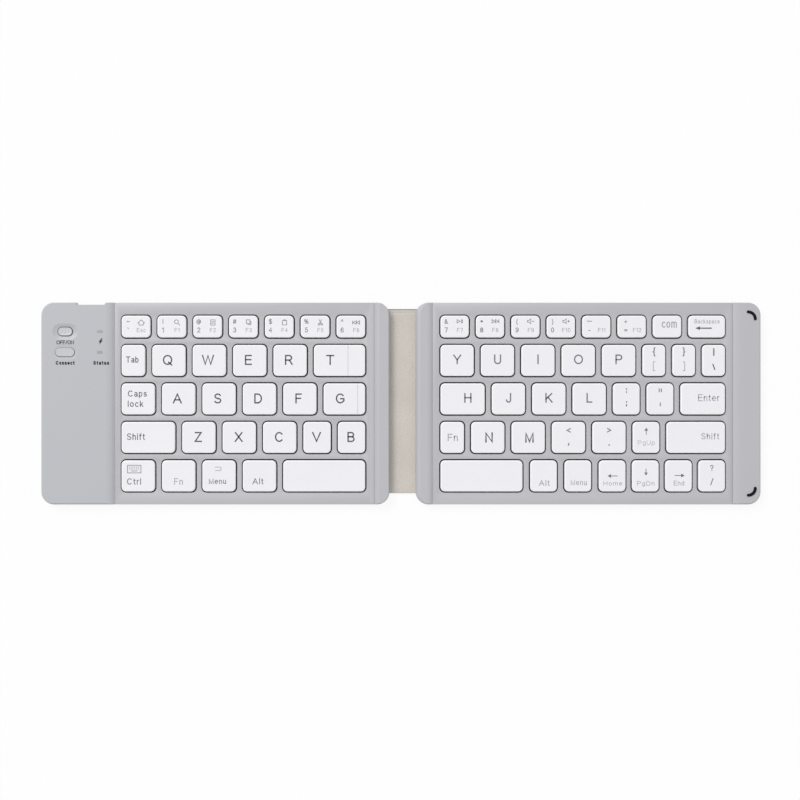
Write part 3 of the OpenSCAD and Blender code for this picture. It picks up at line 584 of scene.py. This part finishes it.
def print_text(shape, text, x, y, height, align, slot, top, weight, width, gap=0.17):
    """Printed text. height is that of its capitals and y their middle; width is None for its own width."""
    pen = weight * height
    tall = height - pen
    advance = [GLYPHS[c][0] * tall + pen + gap * height for c in text]
    total = sum(advance) - gap * height
    squeeze = width / total if width else 1.08
    left = x - {"LEFT": 0, "CENTER": 0.5, "RIGHT": 1}[align] * total * squeeze
    for c, step in zip(text, advance):
        place = lambda px, py: (left + (px * tall + pen / 2) * squeeze, y - height / 2 + pen / 2 + py * tall)
        for line in GLYPHS[c][1:]:
            stroke(shape, line, place, pen, slot, top)
        left += step * squeeze


def turned(lines):
    """The same lines, turned by half a turn."""
    return [[p if p == CLOSED else (-p[0], -p[1]) for p in line] for line in lines]


# Small generic pictograms, as lines in millimetres
SPEAKER = [(-1.4, 0.35), (-0.8, 0.35), (0, 1.0), (0, -1.0), (-0.8, -0.35), (-1.4, -0.35), CLOSED]
MINUS = [(0.6, 0), (1.4, 0)]
ICONS = {
    "house": [[(-0.9, -0.2), (-1.5, -0.2), (0, 1.1), (1.5, -0.2), (0.9, -0.2), (0.9, -1.1), (-0.9, -1.1),
               CLOSED]],
    "lens": [arc(-0.25, 0.3, 0.8, 0, 336) + [CLOSED], [(0.35, -0.3), (1.15, -1.15)]],
    "page": [[(-0.9, -1.1), (0.9, -1.1), (0.9, 1.1), (-0.9, 1.1), CLOSED], [(-0.4, 0.3), (0.4, 0.3)],
             [(-0.4, -0.3), (0.4, -0.3)]],
    "copy": [[(-1.0, -0.4), (0.5, -0.4), (0.5, 1.1), (-1.0, 1.1), CLOSED],
             [(0.9, 0.5), (0.9, -0.9), (-0.4, -0.9)]],
    "paste": [[(-0.9, -1.0), (0.9, -1.0), (0.9, 0.8), (-0.9, 0.8), CLOSED], [(-0.4, 1.1), (0.4, 1.1)]],
    "scissors": [arc(x, -0.75, 0.38, 0, 330, 10) + [CLOSED] for x in (-0.55, 0.55)]
    + [[(-0.35, -0.4), (0.5, 1.15)], [(0.35, -0.4), (-0.5, 1.15)]],
    "back": [[(-1.5, 0.7), (-1.5, -0.7)], [(-1.3, 0), (0, 0.7), (0, -0.7), CLOSED],
             [(0.1, 0), (1.4, 0.7), (1.4, -0.7), CLOSED]],
    "play": [[(0.1, 0), (-1.2, 0.7), (-1.2, -0.7), CLOSED], [(0.6, 0.7), (0.6, -0.7)],
             [(1.1, 0.7), (1.1, -0.7)]],
    "quiet": [SPEAKER, MINUS],
    "loud": [SPEAKER, MINUS, [(1.0, 0.4), (1.0, -0.4)]],
    "keyboard": [[(-2.8, -1.6), (2.8, -1.6), (2.8, 1.6), (-2.8, 1.6), CLOSED], [(-1.2, -0.8), (1.2, -0.8)]]
    + [[(x - 0.16, y), (x + 0.16, y)] for y in (0.85, 0.05) for x in (-1.8, -0.9, 0, 0.9, 1.8)],
    "return": [[(-1.3, 0.75), (0.5, 0.75), (1.1, 0.35), (1.1, -0.35), (0.5, -0.75), (-1.2, -0.75)]],
    "to_left": [[(3.1, 0), (-2.0, 0)], [(-3.1, 0), (-1.9, 0.42), (-1.9, -0.42), CLOSED]],
    "left": [[(1.9, 0), (-1.4, 0)], [(-1.9, 0), (-0.9, 0.55), (-0.9, -0.55), CLOSED]],
    "up": [[(0, -1.3), (0, 0.9)], [(0, 1.3), (-0.55, 0.4), (0.55, 0.4), CLOSED]],
}
ICONS |= {"next": turned(ICONS["back"]), "right": turned(ICONS["left"]), "down": turned(ICONS["up"])}


# A legend is text, anchor on the cap, place from it, height, ink, and where needed width and weight.
# Anchors are the cap's centre (c), a side with the text centred (l, r) or set against it (left, right), and
# for pictograms, whose height is the line's width, the right side (icon) or the centre (icon_c).
def number(symbol, digit, icon, word, x=2.4, icon_y=1.7, up=2.1, width=None, weight=0.14):
    return [(symbol, "l", x, up, 2.0, 2, width, weight), (digit, "l", x, -1.45, 2.1, 2, None, weight),
            (icon, "icon", 3.75, icon_y, 0.26, 2), (word, "r", 3.75, -1.5, 1.75, 3)]


def pair(upper, lower, up_y, low_y, up_h, low_h, slot=1, weight=0.14):
    return [(text, "c", 0, y, height, slot, None, weight)
            for text, y, height in ((upper, up_y, up_h), (lower, low_y, low_h))]


# What is printed on each cap of each node
LEGENDS = {}
for letters, *legend in (
    ("qwerasdf", "c", -0.5, 0.2, 4.25, 1), ("zxcvb", "c", -0.2, 0.2, 4.25, 1),
    ("yuiopjkl", "c", 0, 0.45, 4.1, 2), ("nm", "c", 0.5, 0, 4.25, 1, None, 0.15),
    ("t", "l", 6.9, 0.2, 4.25, 1), ("g", "l", 7.0, 0.2, 4.25, 1), ("h", "r", 7.1, 0.45, 4.1, 2),
):
    LEGENDS |= {f"{c}_key": [[(c.upper(), *legend)]] for c in letters}
LEGENDS["left_number_keys"] = [
    number("~", "`", "house", "Esc", 2.8), number("!", "1", "lens", "F1"), number("@", "2", "page", "F2"),
    number("#", "3", "copy", "F3"), number("$", "4", "paste", "F4"), number("%", "5", "scissors", "F5"),
    number("^", "6", "back", "F6"),
]
LEGENDS["right_number_keys"] = [
    number("&", "7", "play", "F7", icon_y=2.2),
    number("*", "8", "next", "F8", icon_y=2.2, up=1.7, weight=0.17),
    number("(", "9", "quiet", "F9", icon_y=2.2), number(")", "0", "loud", "F10", icon_y=2.2),
    number("_", "-", None, "F11", 3.0, up=3.1, width=2.5), number("+", "=", None, "F12", 3.4),
    [("com", "c", 0.85, 1.2, 3.5, 3, 6.3)],
]
LEGENDS["backspace_key"] = [
    [("Backspace", "c", 0.1, 2.15, 1.75, 3, 10.6), ("to_left", "icon_c", -1.3, -0.7, 0.5, 1)],
]
LEGENDS["left_edge_keys"] = [
    [("Tab", "left", 1.9, 0.35, 2.6, 1, 5.3)],
    [("Caps", "left", 2.7, 2.25, 2.6, 1, 8.0), ("lock", "left", 2.65, -2.05, 2.6, 1, 6.6)],
    [("Shift", "left", 2.3, 0.35, 2.8, 2, 7.6)],
]
LEGENDS["left_modifier_keys"] = [
    [("keyboard", "icon_c", -1.6, 2.9, 0.28, 2), ("Ctrl", "left", 2.35, -2.3, 2.7, 2, 5.9)],
    [("Fn", "c", 0, -2.3, 2.7, 3)],
    [("return", "icon_c", -0.2, 3.0, 0.3, 3), ("Menu", "c", -0.6, -2.2, 2.3, 2)],
    [("Alt", "c", -0.6, -2.2, 2.6, 2)],
]
LEGENDS["left_space_bar"] = LEGENDS["right_space_bar"] = [[]]
LEGENDS["enter_key"] = [[("Enter", "right", 2.4, 0.5, 2.9, 3, 9.0)]]
LEGENDS["punctuation_keys"] = [
    *[[(a, "c", 0, 3.95, 3.2, 2), (b, "c", 0, -2.1, 3.3, 3, None, 0.1)] for a, b in ("{[", "}]")],
    pair("|", "\\", 3.8, -2.7, 2.7, 2.6, 1, 0.17),
    pair(":", ";", 3.8, -1.6, 2.4, 2.4, 1, 0.19), pair("\"", "'", 2.3, -3.6, 4.2, 4.2, 2, 0.1),
    pair("<", ",", 3.15, -1.3, 2.9, 3.4, 2, 0.15), pair(">", ".", 3.2, -1.8, 2.9, 3.4, 2, 0.15),
    pair("?", "/", 3.4, -2.4, 2.4, 2.9, 2),
]
LEGENDS["right_modifier_keys"] = [
    [("Fn", "c", 0.2, 0, 3.1, 3)], [("Shift", "right", 2.5, 0.55, 2.7, 3, 7.6, 0.14)],
    [("Alt", "c", 0.3, -2.9, 2.5, 3, 4.5, 0.15)], [("Menu", "c", 0.3, -2.7, 2.3, 3, 6.7)],
]
LEGENDS["arrow_keys"] = [
    [("up", "icon_c", 0, 2.55, 0.26, 1), ("PgUp", "c", 0, -2.2, 1.9, 3, 7.2, 0.1)],
    [("left", "icon_c", 0.2, 0, 0.28, 1), ("Home", "c", 0.2, -3.1, 1.8, 3, 8.0)],
    [("down", "icon_c", 0.2, 1.7, 0.26, 1), ("PgDn", "c", 0.1, -3.1, 1.9, 3, 7.4, 0.12)],
    [("right", "icon_c", 0.3, 0.2, 0.28, 1), ("End", "c", 0.1, -3.0, 2.0, 3)],
]
# Stroke width of each ink, as a share of the cap height
WEIGHT = {1: 0.135, 2: 0.14, 3: 0.13}


def print_key(shape, box, items):
    x0, x1, y0, y1 = box
    cx, cy = (x0 + x1) / 2, (y0 + y1) / 2
    place = {
        "c": (cx, 1, "CENTER"), "l": (x0, 1, "CENTER"), "r": (x1, -1, "CENTER"),
        "left": (x0, 1, "LEFT"), "right": (x1, -1, "RIGHT"),
        "icon": (x1, -1, None), "icon_c": (cx, 1, None),
    }
    top = lambda px, py: key_top(box, px, py)
    for text, at, dx, dy, height, ink, *more in items:
        if text is None:
            continue
        base, sign, align = place[at]
        x, y = base + sign * dx, cy + dy
        if align is None:
            for line in ICONS[text]:
                stroke(shape, line, lambda px, py: (x + px, y + py), height, ink, top)
        else:
            width, weight = (more + [None, None])[:2]
            print_text(shape, text, x, y, height, align, ink, top, weight or WEIGHT[ink], width)


def grooved_cap(shape, box, x):
    """Cap with a narrow groove across its top."""
    whole, groove = Shape(), Shape()
    key_cap(whole, box)
    cut = [(x - 0.17, 1), (x - 0.14, -0.5), (x + 0.14, -0.5), (x + 0.17, 1)]
    groove.loft([[(px, y, KEY_Z + z) for px, z in cut[::-1]] for y in (box[2] - 1, box[3] + 1)])
    obj = carve(whole.build("whole", [KEY]), groove)
    shape.add(obj.data, lambda co: tuple(co / MM))
    bpy.data.meshes.remove(obj.data)


# The line across the T and G caps, from their left side
LINE_X = 14.4
key_boxes = {"left": [], "right": []}
for node, legends in LEGENDS.items():
    shape, boxes = Shape(), solids(node)
    for box, items in zip(boxes, legends):
        if node in ("t_key", "g_key"):
            grooved_cap(shape, box, box[0] + LINE_X)
        else:
            key_cap(shape, box)
        print_key(shape, box, items)
        key_boxes["left" if box[0] < 0 else "right"].append(box)
    caps = shape.build(node + "_cap", [KEY, INK, INK_MID, INK_PALE])
    finish(caps, node, "key_plastic", node)

# ---- case

# The panels' openings, round each cap
WELL_GAP, WELL_R = 0.54, 2.3


def panel(side, body):
    """Sheet with a rounded opening round each cap."""
    (x0, y0, _), (x1, y1, _) = box_mm(side + "_key_panel")
    edge = 0.06
    curve = bpy.data.curves.new("panel", "CURVE")
    curve.dimensions, curve.fill_mode = "2D", "BOTH"
    curve.extrude, curve.bevel_depth, curve.offset = (PANEL_Z - SKIRT_Z) / 2 - edge, edge, -edge
    curve.bevel_resolution = 1
    loops = [[(x0, y0), (x1, y0), (x1, y1), (x0, y1)]]
    for b in key_boxes[side]:
        well = rounded(b[0] - WELL_GAP, b[1] + WELL_GAP, b[2] - WELL_GAP, b[3] + WELL_GAP, 0, WELL_R, 8)
        loops.append([(x, y) for x, y, _ in reversed(well)])
    for loop in loops:
        spline = curve.splines.new("POLY")
        spline.points.add(len(loop) - 1)
        for p, (x, y) in zip(spline.points, loop):
            p.co = (x, y, 0, 1)
        spline.use_cyclic_u = True
    obj = bpy.data.objects.new("panel", curve)
    mesh = bpy.data.meshes.new_from_object(obj)
    shape = Shape()
    shape.add(mesh, lambda co: (co.x, co.y, co.z + (PANEL_Z + SKIRT_Z) / 2))
    bpy.data.objects.remove(obj)
    bpy.data.meshes.remove(mesh)
    if side == "left":
        bead = [(-0.8, -0.05), (0.8, -0.05)] + arc(0, 0, 0.8, 0, 180, 12, 0.1)
        shape.loft([[(x1 - 1.05 + x, y, PANEL_Z + z) for x, z in bead[::-1]] for y in (y0 + 0.3, y1 - 0.3)])
    finish(shape.build(side + "_panel_sheet", [PANEL], 30), body, "panel_metal", side + "_key_panel")


def shoulder(width, low, top):
    """Profile of a rounded shoulder, as (draw-in, height) from its foot up."""
    return [(width * (1 - cosd(a)), low + (top - low) * sind(a)) for a in range(0, 91, 9)]


def slope(top, *drops):
    return [(inset, top - drop) for inset, drop in drops]


def hood(x0, x1, radii, sides, roof):
    """Hollow hood of a half. sides are the profiles +X +Y -X -Y, whose last heights agree."""

    def draw_in(side, z):
        for (d0, z0), (d1, z1) in zip(side, side[1:]):
            if z <= z1 + 1e-6:
                return d0 + (d1 - d0) * max(z - z0, 0) / max(z1 - z0, 1e-6)
        return side[-1][0]

    def ring(inset, z):
        return rounded(x0, x1, -BACK_Y, BACK_Y, z, radii, 9, inset)

    heights = []
    for z in sorted(z for side in sides for _, z in side):
        if not heights or z - heights[-1] > 0.004:
            heights.append(z)
    heights[-1] = max(z for _, z in sides[0])
    shape = Shape()
    loops = [ring(WALL, roof), ring(WALL, SKIRT_Z), ring(0.1, SKIRT_Z), ring(0, SKIRT_Z + 0.1)]
    loops += [ring([draw_in(side, z) for side in sides], z) for z in heights]
    loops.append(ring([side[-1][0] + 0.25 for side in sides], heights[-1]))
    shape.loft(loops)
    return shape


# Radii of a tray's lower edge and of the leather's corners
EDGE_R, LEATHER_R = 0.9, 3


def tray(x0, x1, leather_x0, leather_x1):
    """Bottom shell with a rounded lower edge, and the cutter of its shallow pocket for the leather."""
    shape = Shape()

    def ring(inset, z):
        return rounded(x0, x1, -BACK_Y, BACK_Y, z, CORNER_R, 9, inset)

    loops = [ring(WALL, FLOOR_Z), ring(WALL, SKIRT_Z), ring(0.1, SKIRT_Z), ring(0, SKIRT_Z - 0.1)]
    for a in range(0, 91, 15):
        loops.append(ring(EDGE_R * (1 - cosd(a)), RIM_Z + EDGE_R * (1 - sind(a))))
    loops.append(ring(EDGE_R + 0.2, RIM_Z))
    shape.loft(loops[::-1])
    sheet = rounded(leather_x0, leather_x1, LEATHER_Y0, LEATHER_Y1, 0, LEATHER_R, 6, -0.1)
    return shape, prism(sheet, RIM_Z - 1, LEATHER_Z)


(lx0, _, _), (lx1, _, _) = box_mm("left_bottom_shell")
(rx0, _, _), (rx1, _, _) = box_mm("right_bottom_shell")
knob_x, knob_y, button_y = lx0 + 10.2, BACK_Y - 12.2, BACK_Y - 21.0
lamp_x, port_x = lx0 + 24.9, lx0 + 21.2

panel("left", "left_half")
panel("right", "right_half")

# Above and below the case, for cutters that go through
OVER_Z, UNDER_Z = 6, 0
notch = rounded(port_x - 6.5, port_x + 6.0, BACK_Y - 0.95, BACK_Y + 2, 0, [0.05, 0.05, 0.5, 0.8], 6)
port_hole = Shape()
port_hole.loft([upright(port_x - 3.85, port_x + 3.85, 2.05, 4.55, 0.9, BACK_Y + dy, 6) for dy in (-6.2, 2)])

shape, pocket = tray(lx0, lx1, lx0 + LEATHER_INSET, lx1 + 5)
left_tray = carve(shape.build("left_tray", [CASE]), pocket, prism(notch, UNDER_Z, OVER_Z), port_hole)
finish(left_tray, "left_half", "case_plastic", "left_bottom_shell")
shape, pocket = tray(rx0, rx1, rx0 - 5, rx1 - LEATHER_INSET)
right_tray = carve(shape.build("right_tray", [CASE]), pocket)
finish(right_tray, "right_half", "case_plastic", "right_bottom_shell")

# Battery compartment's cover, with the dish, the openings and the notch. Its sides are (draw-in, drop from
# the top).
LEDGE = ((0, 1.22), (0.02, 1.17), (0.28, 1.14), (0.33, 0.9), (0.36, 0.35), (0.42, 0.16), (0.55, 0.05),
         (0.8, 0))
CRISP = ((0, 1.22), (0.02, 0.34), (0.06, 0.16), (0.14, 0.05), (0.28, 0))
ROUND_WEST, ROUND_EAST = [0.1, CORNER_R, CORNER_R, 0.1], [CORNER_R, 0.1, 0.1, CORNER_R]
ramp = slope(COVER_Z, (0, 1.22), (0.3, 0.98), (0.75, 0.64), (1.2, 0.4), (1.6, 0.27), (2.0, 0.17),
             (2.45, 0.09), (2.9, 0.04), (3.4, 0))
sides = ramp, slope(COVER_Z, *CRISP), shoulder(0.9, PANEL_Z, COVER_Z), slope(COVER_Z, *LEDGE)
cover = hood(lx0, box_mm("battery_cover")[1][0], ROUND_WEST, sides, COVER_Z - ROOF)
cover = cover.build("battery_cover_moulding", [COVER])
dish, dimple = Shape(), Shape()
round_ended(dish, knob_x, knob_y, 10.5, 6.5, (1.75, 4.7), (1.45, 4.72), (1.1, 4.8), (0.7, 4.93), (0.3, 5.07),
            (-0.1, 5.175), (-0.35, 5.21), (-0.4, 5.8))
round_ended(dimple, knob_x, button_y, 8.4, 4.0, (0.4, 5.1), (-0.1, 5.1), (-0.5, 5.145), (-0.9, 5.18),
            (-1.3, 5.2), (-1.5, 5.21), (-1.6, 5.8))
outlines = [rounded(knob_x - 1.9, knob_x + 1.9, knob_y - 0.9, knob_y + 0.9, 0, 0.3, 4)]
outlines += [obround(knob_x, button_y, 8.4, 4.0, 0)]
outlines += [obround(lamp_x, y, 2.54, 1.24, 0) for y in (knob_y, button_y)]
neck_slot, opening, *windows = [prism(outline, 3.4, OVER_Z) for outline in outlines]
carve(cover, dish, neck_slot, dimple, opening, *windows, prism(notch, UNDER_Z, OVER_Z), port_hole)
finish(cover, "left_half", "cover_plastic", "battery_cover")

# Rails beside the spine and at the far right end, where two grooves hold the rubber arcs
ARC_X, ARC_Y, ARC_R, ARC_HALF, ARC_Z, GROOVE_Z = rx1 - 5.4, BACK_Y - 6.9, 2.95, 0.6, 5.2, RAIL_Z - 0.3


def arc_outline(start, half, z):
    """Round-ended quarter arc, at the back corner (start 0) or the front one (start -90)."""
    cy = ARC_Y if start == 0 else -ARC_Y
    outer = arc(ARC_X, cy, ARC_R + half, start, start + 90, 16)
    inner = arc(ARC_X, cy, ARC_R - half, start + 90, start, 16)
    ends = [arc(ARC_X + ARC_R * cosd(a), cy + ARC_R * sind(a), half, b, b + 180, 10)[1:-1]
            for a, b in ((start + 90, start + 90), (start, start + 180))]
    return [(x, y, z) for x, y in outer + ends[0] + inner + ends[1]]


edge, back = (slope(RAIL_Z, *[(inset, drop * 0.85) for inset, drop in side]) for side in (LEDGE, CRISP))
ramp = slope(RAIL_Z, (0, 1.02), (0.1, 0.92), (0.45, 0.63), (0.85, 0.35), (1.3, 0.16), (1.7, 0.06), (2.1, 0))
spine_side = slope(RAIL_Z, (0, 1.75), (0.25, 1.05), (0.6, 0.6), (1.05, 0.28), (1.35, 0.14), (1.75, 0.02),
                   (2.0, 0))
left_ramp = slope(RAIL_Z, (0, 1.02), (0.05, 0.85), (0.4, 0.62), (0.9, 0.3), (1.3, 0.12), (1.7, 0.03),
                  (2.1, 0))
soft = slope(RAIL_Z, (0, 1.02), (0.05, 0.45), (0.5, 0.33), (1.2, 0.2), (2.2, 0.08), (3.2, 0.02), (4.2, 0))
for name, x0, x1, radii, sides, body, node in (
    ("left_rail_moulding", box_mm("left_hinge_rail")[0][0], lx1, ROUND_EAST,
     (shoulder(0.5, SKIRT_Z + 0.6, RAIL_Z), back, left_ramp, edge), "left_half", "left_hinge_rail"),
    ("right_rail_moulding", rx0, box_mm("right_hinge_rail")[1][0], ROUND_WEST,
     (ramp, back, spine_side, edge), "right_half", "right_hinge_rail"),
    ("end_rail_moulding", box_mm("right_end_rail")[0][0], rx1, ROUND_EAST,
     (shoulder(0.8, PANEL_Z, RAIL_Z), back, soft, edge), "right_half", "right_end_rail"),
):
    rail = hood(x0, x1, radii, sides, RAIL_Z - ROOF).build(name, [CASE])
    if node == "right_end_rail":
        outlines = [arc_outline(start, ARC_HALF + 0.02, 0) for start in (0, -90)]
        carve(rail, *[prism(outline, GROOVE_Z, OVER_Z) for outline in outlines])
    finish(rail, body, "case_plastic", node)

# Rubber arcs, soft-edged: (draw-in, height) from the groove's floor up
bumpers = Shape()
rings = [(0, GROOVE_Z), (0, ARC_Z)]
rings += [(0.2 * (1 - cosd(a)), ARC_Z + 0.2 * sind(a)) for a in (20, 40, 60, 75, 90)]
for start in (0, -90):
    bumpers.loft([arc_outline(start, ARC_HALF - inset, z) for inset, z in rings + [(0.26, ARC_Z + 0.2)]])
finish(bumpers.build("rubber_arcs", [RUBBER]), "right_half", "bumper_rubber", "arc_bumpers")

# ---- switch, button, port, labels

# The knob's dark plate round its foot, painted shade standing in for a shadow gap, then its hollowed cap,
# three ribs and its neck
knob = Shape()
round_ended(knob, knob_x, knob_y, 6.5, 4.0, (0.55, 4.74), (0.24, 4.8), (0, 4.88), (0, 4.91), (0.05, 4.94),
            (0.3, 4.96), slot=1)
RIB_Z = 5.05
round_ended(knob, knob_x, knob_y, 5.9, 3.4, (0.05, 4.86), (0, 4.9), (0, 5.06), (0.04, 5.12), (0.13, 5.17),
            (0.25, 5.18), (0.45, 5.13), (0.7, 5.07), (0.9, RIB_Z))
for dx, tall, lift in ((-1.3, 0.55, 0.12), (0, 1.1, 0.15), (1.3, 0.55, 0.12)):
    ring = [(-0.24, -0.05), (0.24, -0.05), (0.16, lift * 0.7), (0, lift), (-0.16, lift * 0.7)]
    half = ((tall, 0.25), (tall - 0.12, 0.8), (tall - 0.3, 1))
    ends = [(-y, scale) for y, scale in half] + list(half[::-1])
    knob.loft([[(knob_x + dx + x * scale, knob_y + y, RIB_Z + z * scale) for x, z in ring[::-1]]
               for y, scale in ends])
knob.loft([rounded(knob_x - 0.8, knob_x + 0.8, knob_y - 0.8, knob_y + 0.8, z, 0.2, 3) for z in (3.6, 4.95)])
finish(knob.build("switch_knob", [KNOB, KNOB_GAP_SHADE]), "power_switch_knob", "knob_plastic", "power_switch_knob")

# The button's flange, its cap and the plunger under it
button = Shape()
round_ended(button, knob_x, button_y, 9.2, 4.8, (0, 3.95), (0, 4.25))
round_ended(button, knob_x - 0.1, button_y + 0.08, 8.0, 3.6, (0, 4.2), (0, 5.0), (0.03, 5.09), (0.1, 5.16),
            (0.2, 5.195), (0.3, 5.2), (0.6, 5.2), (1.0, 5.185), (1.5, 5.175))
button.loft([circle(knob_x, button_y, 1.1, z) for z in (box_mm("connect_button")[0][2], 4.0)])
finish(button.build("connect_button_cap", [BUTTON]), "connect_button", "button_plastic", "connect_button")

# The receptacle's shell, with its tongue and five contacts
(px0, py0, pz0), (px1, py1, pz1) = box_mm("charging_port")
port = Shape()
port.loft([upright(px0 - grow, px1 + grow, pz0 - grow, pz1 + grow, 0.85 + grow, y, 6) for grow, y in (
    (-0.3, py0 + 0.5), (-0.3, py1 - 0.15), (-0.2, py1 - 0.02), (-0.1, py1), (0, py1 - 0.08), (0, py0))])
mid_x, mid_z = (px0 + px1) / 2, (pz0 + pz1) / 2
tongue = px0 + 1.5, px1 - 1.5, mid_z - 0.3, mid_z + 0.3, 0.15
port.loft([upright(*tongue, y, 4) for y in (py0 + 0.4, py1 - 0.8)], slot=1)
for cx in [mid_x + (i - 2) * 0.75 for i in range(5)]:
    contact = cx - 0.2, cx + 0.2, mid_z - 0.33, mid_z + 0.33, 0.05
    port.loft([upright(*contact, y, 2) for y in (py0 + 0.6, py1 - 1.2)], slot=2)
finish(port.build("charging_receptacle", [METAL, INSERT, GOLD]), "left_half", "port_metal", "charging_port")

# Printed labels on the cover: text, middle, height, width, weight and gap
labels = Shape()
for text, x, y, height, width, weight, gap in (
    ("OFF/ON", -141.179, 25.722, 1.65, 7.4, 0.17, 0.06),
    ("Connect", -141.179, 17.106, 1.6, 7.9, 0.25, 0.2),
    ("Status", -126.048, 17.106, 1.6, 6.6, 0.25, 0.2),
):
    print_text(labels, text, x, y, height, "CENTER", 0, lambda x, y: COVER_Z, weight, width, gap)
bolt_x, bolt_y = -126.258, 26.143
bolt = [(0.3, 1.3), (-0.9, -0.32), (-0.3, -0.32), (-0.6, -1.35), (0.9, 0.32), (0.35, 0.32), (0.8, 1.3)]
labels.loft([[(bolt_x + x, bolt_y + y, COVER_Z + z) for x, y in bolt] for z in (PRINT_Z0, PRINT_Z1)])
finish(labels.build("cover_labels", [INK_BLACK]), "left_half", "cover_plastic")

# ---- leather

# The two strips meet in the middle of the spine, with close-set loops over BEND mm beside each half
MIDDLE, BEND = (lx1 + rx0) / 2, 1.1


def leather(name, end, case, way, inner):
    """Strip of leather from its far end towards +X or -X (way 1 or -1), past the case's edge at the spine.
    It has a pressed line along its back edge, and the rounding of that edge is coloured dark as painted
    shade."""
    angles = (2, 15, 30, 45, 60, 75, 90)
    columns = [(end + way * LEATHER_R * (1 - cosd(a)), LEATHER_R * (1 - sind(a))) for a in angles]
    columns += [(x, 0) for x in (-way * 100, -way * 50, case - way * 0.6)]
    columns += [(case + way * BEND * i / 8, 0) for i in range(9)] + [(x, 0) for x in (*inner, MIDDLE)]
    half, loops = LEATHER_Z / 2, []
    for x, draw in columns:
        y0, y1 = LEATHER_Y0 + draw, LEATHER_Y1 - draw
        loop = arc(y0 + half, half, half, 90, 270, 6) + [(y0 + 1.6, 0), (y1 - 1.6, 0)]
        first = len(loop)
        loop += arc(y1 - half, half, half, -90, 90, 6)
        loop += [(y1 - dy, LEATHER_Z - dip) for dy, dip in (
            (0.6, 0), (1.25, 0), (1.4, 0.06), (1.55, 0.14), (1.7, 0.06), (1.85, 0.01), (2.2, 0))]
        loops.append([(x, y, z) for y, z in loop + [(y0 + 1.6, LEATHER_Z)]])
    shape = Shape()
    shape.loft([loop[::way] for loop in loops])
    n = len(loops[0])
    # Faces of the back edge's rounding take the dark colour, as painted shade.
    painted = range(first, first + 6) if way == 1 else range(n - 7 - first, n - 1 - first)
    shape.slots = [1 if i % n in painted and i < n * (len(loops) - 1) else 0 for i in range(len(shape.slots))]
    return shape.build(name, [LEATHER, LEATHER_EDGE_SHADE])


left_end, right_end = lx0 + LEATHER_INSET, rx1 - LEATHER_INSET
left_leather = leather("left_leather", left_end, lx1, 1, (-2.5, -1.2, 0))
right_leather = leather("right_leather", right_end, rx0, -1, (4.6, 3.4, 2.2))
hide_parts("left_leather_cover", "leather_spine")
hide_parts("right_leather_cover")
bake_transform(left_leather)
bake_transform(right_leather)

# ---- floor, light and camera


def seen_directly(tree):
    """1 for rays from the camera and for those that come by way of a reflection or through glass."""
    path = tree.nodes.new("ShaderNodeLightPath")
    seen = path.outputs["Is Camera Ray"]
    for name in ("Is Glossy Ray", "Is Transmission Ray"):
        most = tree.nodes.new("ShaderNodeMath")
        most.operation = "MAXIMUM"
        tree.links.new(seen, most.inputs[0])
        tree.links.new(path.outputs[name], most.inputs[1])
        seen = most.outputs[0]
    return seen


# The floor takes the shadow; most of what the camera sees of it is a white glow of its own
FLOOR_GLOW = 0.88
floor_mesh = bpy.data.meshes.new("floor")
square = [(x, y, -0.2 * MM) for x, y in ((-3, -3), (3, -3), (3, 3), (-3, 3))]
floor_mesh.from_pydata(square, [], [(0, 1, 2, 3)])
floor = add_object("floor", floor_mesh)
floor_mesh.materials.append(finish_of("floor", (252, 252, 252), 0.9, 0.002, 2, 20, 0.001))
tree = floor_mesh.materials[0].node_tree
glow = tree.nodes.new("ShaderNodeEmission")
blend = tree.nodes.new("ShaderNodeMixShader")
tree.links.new(spread(tree, seen_directly(tree), 0, FLOOR_GLOW, 0, 1), blend.inputs[0])
tree.links.new(tree.nodes["Principled BSDF"].outputs[0], blend.inputs[1])
tree.links.new(glow.outputs[0], blend.inputs[2])
tree.links.new(blend.outputs[0], node_of(tree, "OUTPUT_MATERIAL").inputs["Surface"])

# A white surround, dimmer for its light than for its looks
WORLD_LIGHT = 0.62
world = bpy.data.worlds.new("studio")
bpy.context.scene.world = world
world.use_nodes = True
tree = world.node_tree
background = tree.nodes["Background"]
background.inputs["Color"].default_value = (1, 1, 1, 1)
tree.links.new(spread(tree, seen_directly(tree), WORLD_LIGHT, 1, 0, 1), background.inputs["Strength"])

# A softbox above the back left corner, aimed at the middle
light = bpy.data.lights.new("softbox", "AREA")
light.shape, light.size, light.energy = "SQUARE", 2.4, 114
softbox = add_object("softbox", light)
softbox.location = (-2.2, 2.34, 3.83)
softbox.rotation_euler = (-softbox.location).to_track_quat("-Z", "Y").to_euler()

# The photo's camera looks straight down
camera = bpy.data.cameras.new("camera")
camera.sensor_width, camera.sensor_height, camera.lens = 36, 36, 64.2
camera.sensor_fit = "HORIZONTAL"
view = add_object("camera", camera)
view.location = (-0.0004, 0.0015, 0.605)
bpy.context.scene.camera = view
bpy.context.scene.view_settings.view_transform = "Standard"
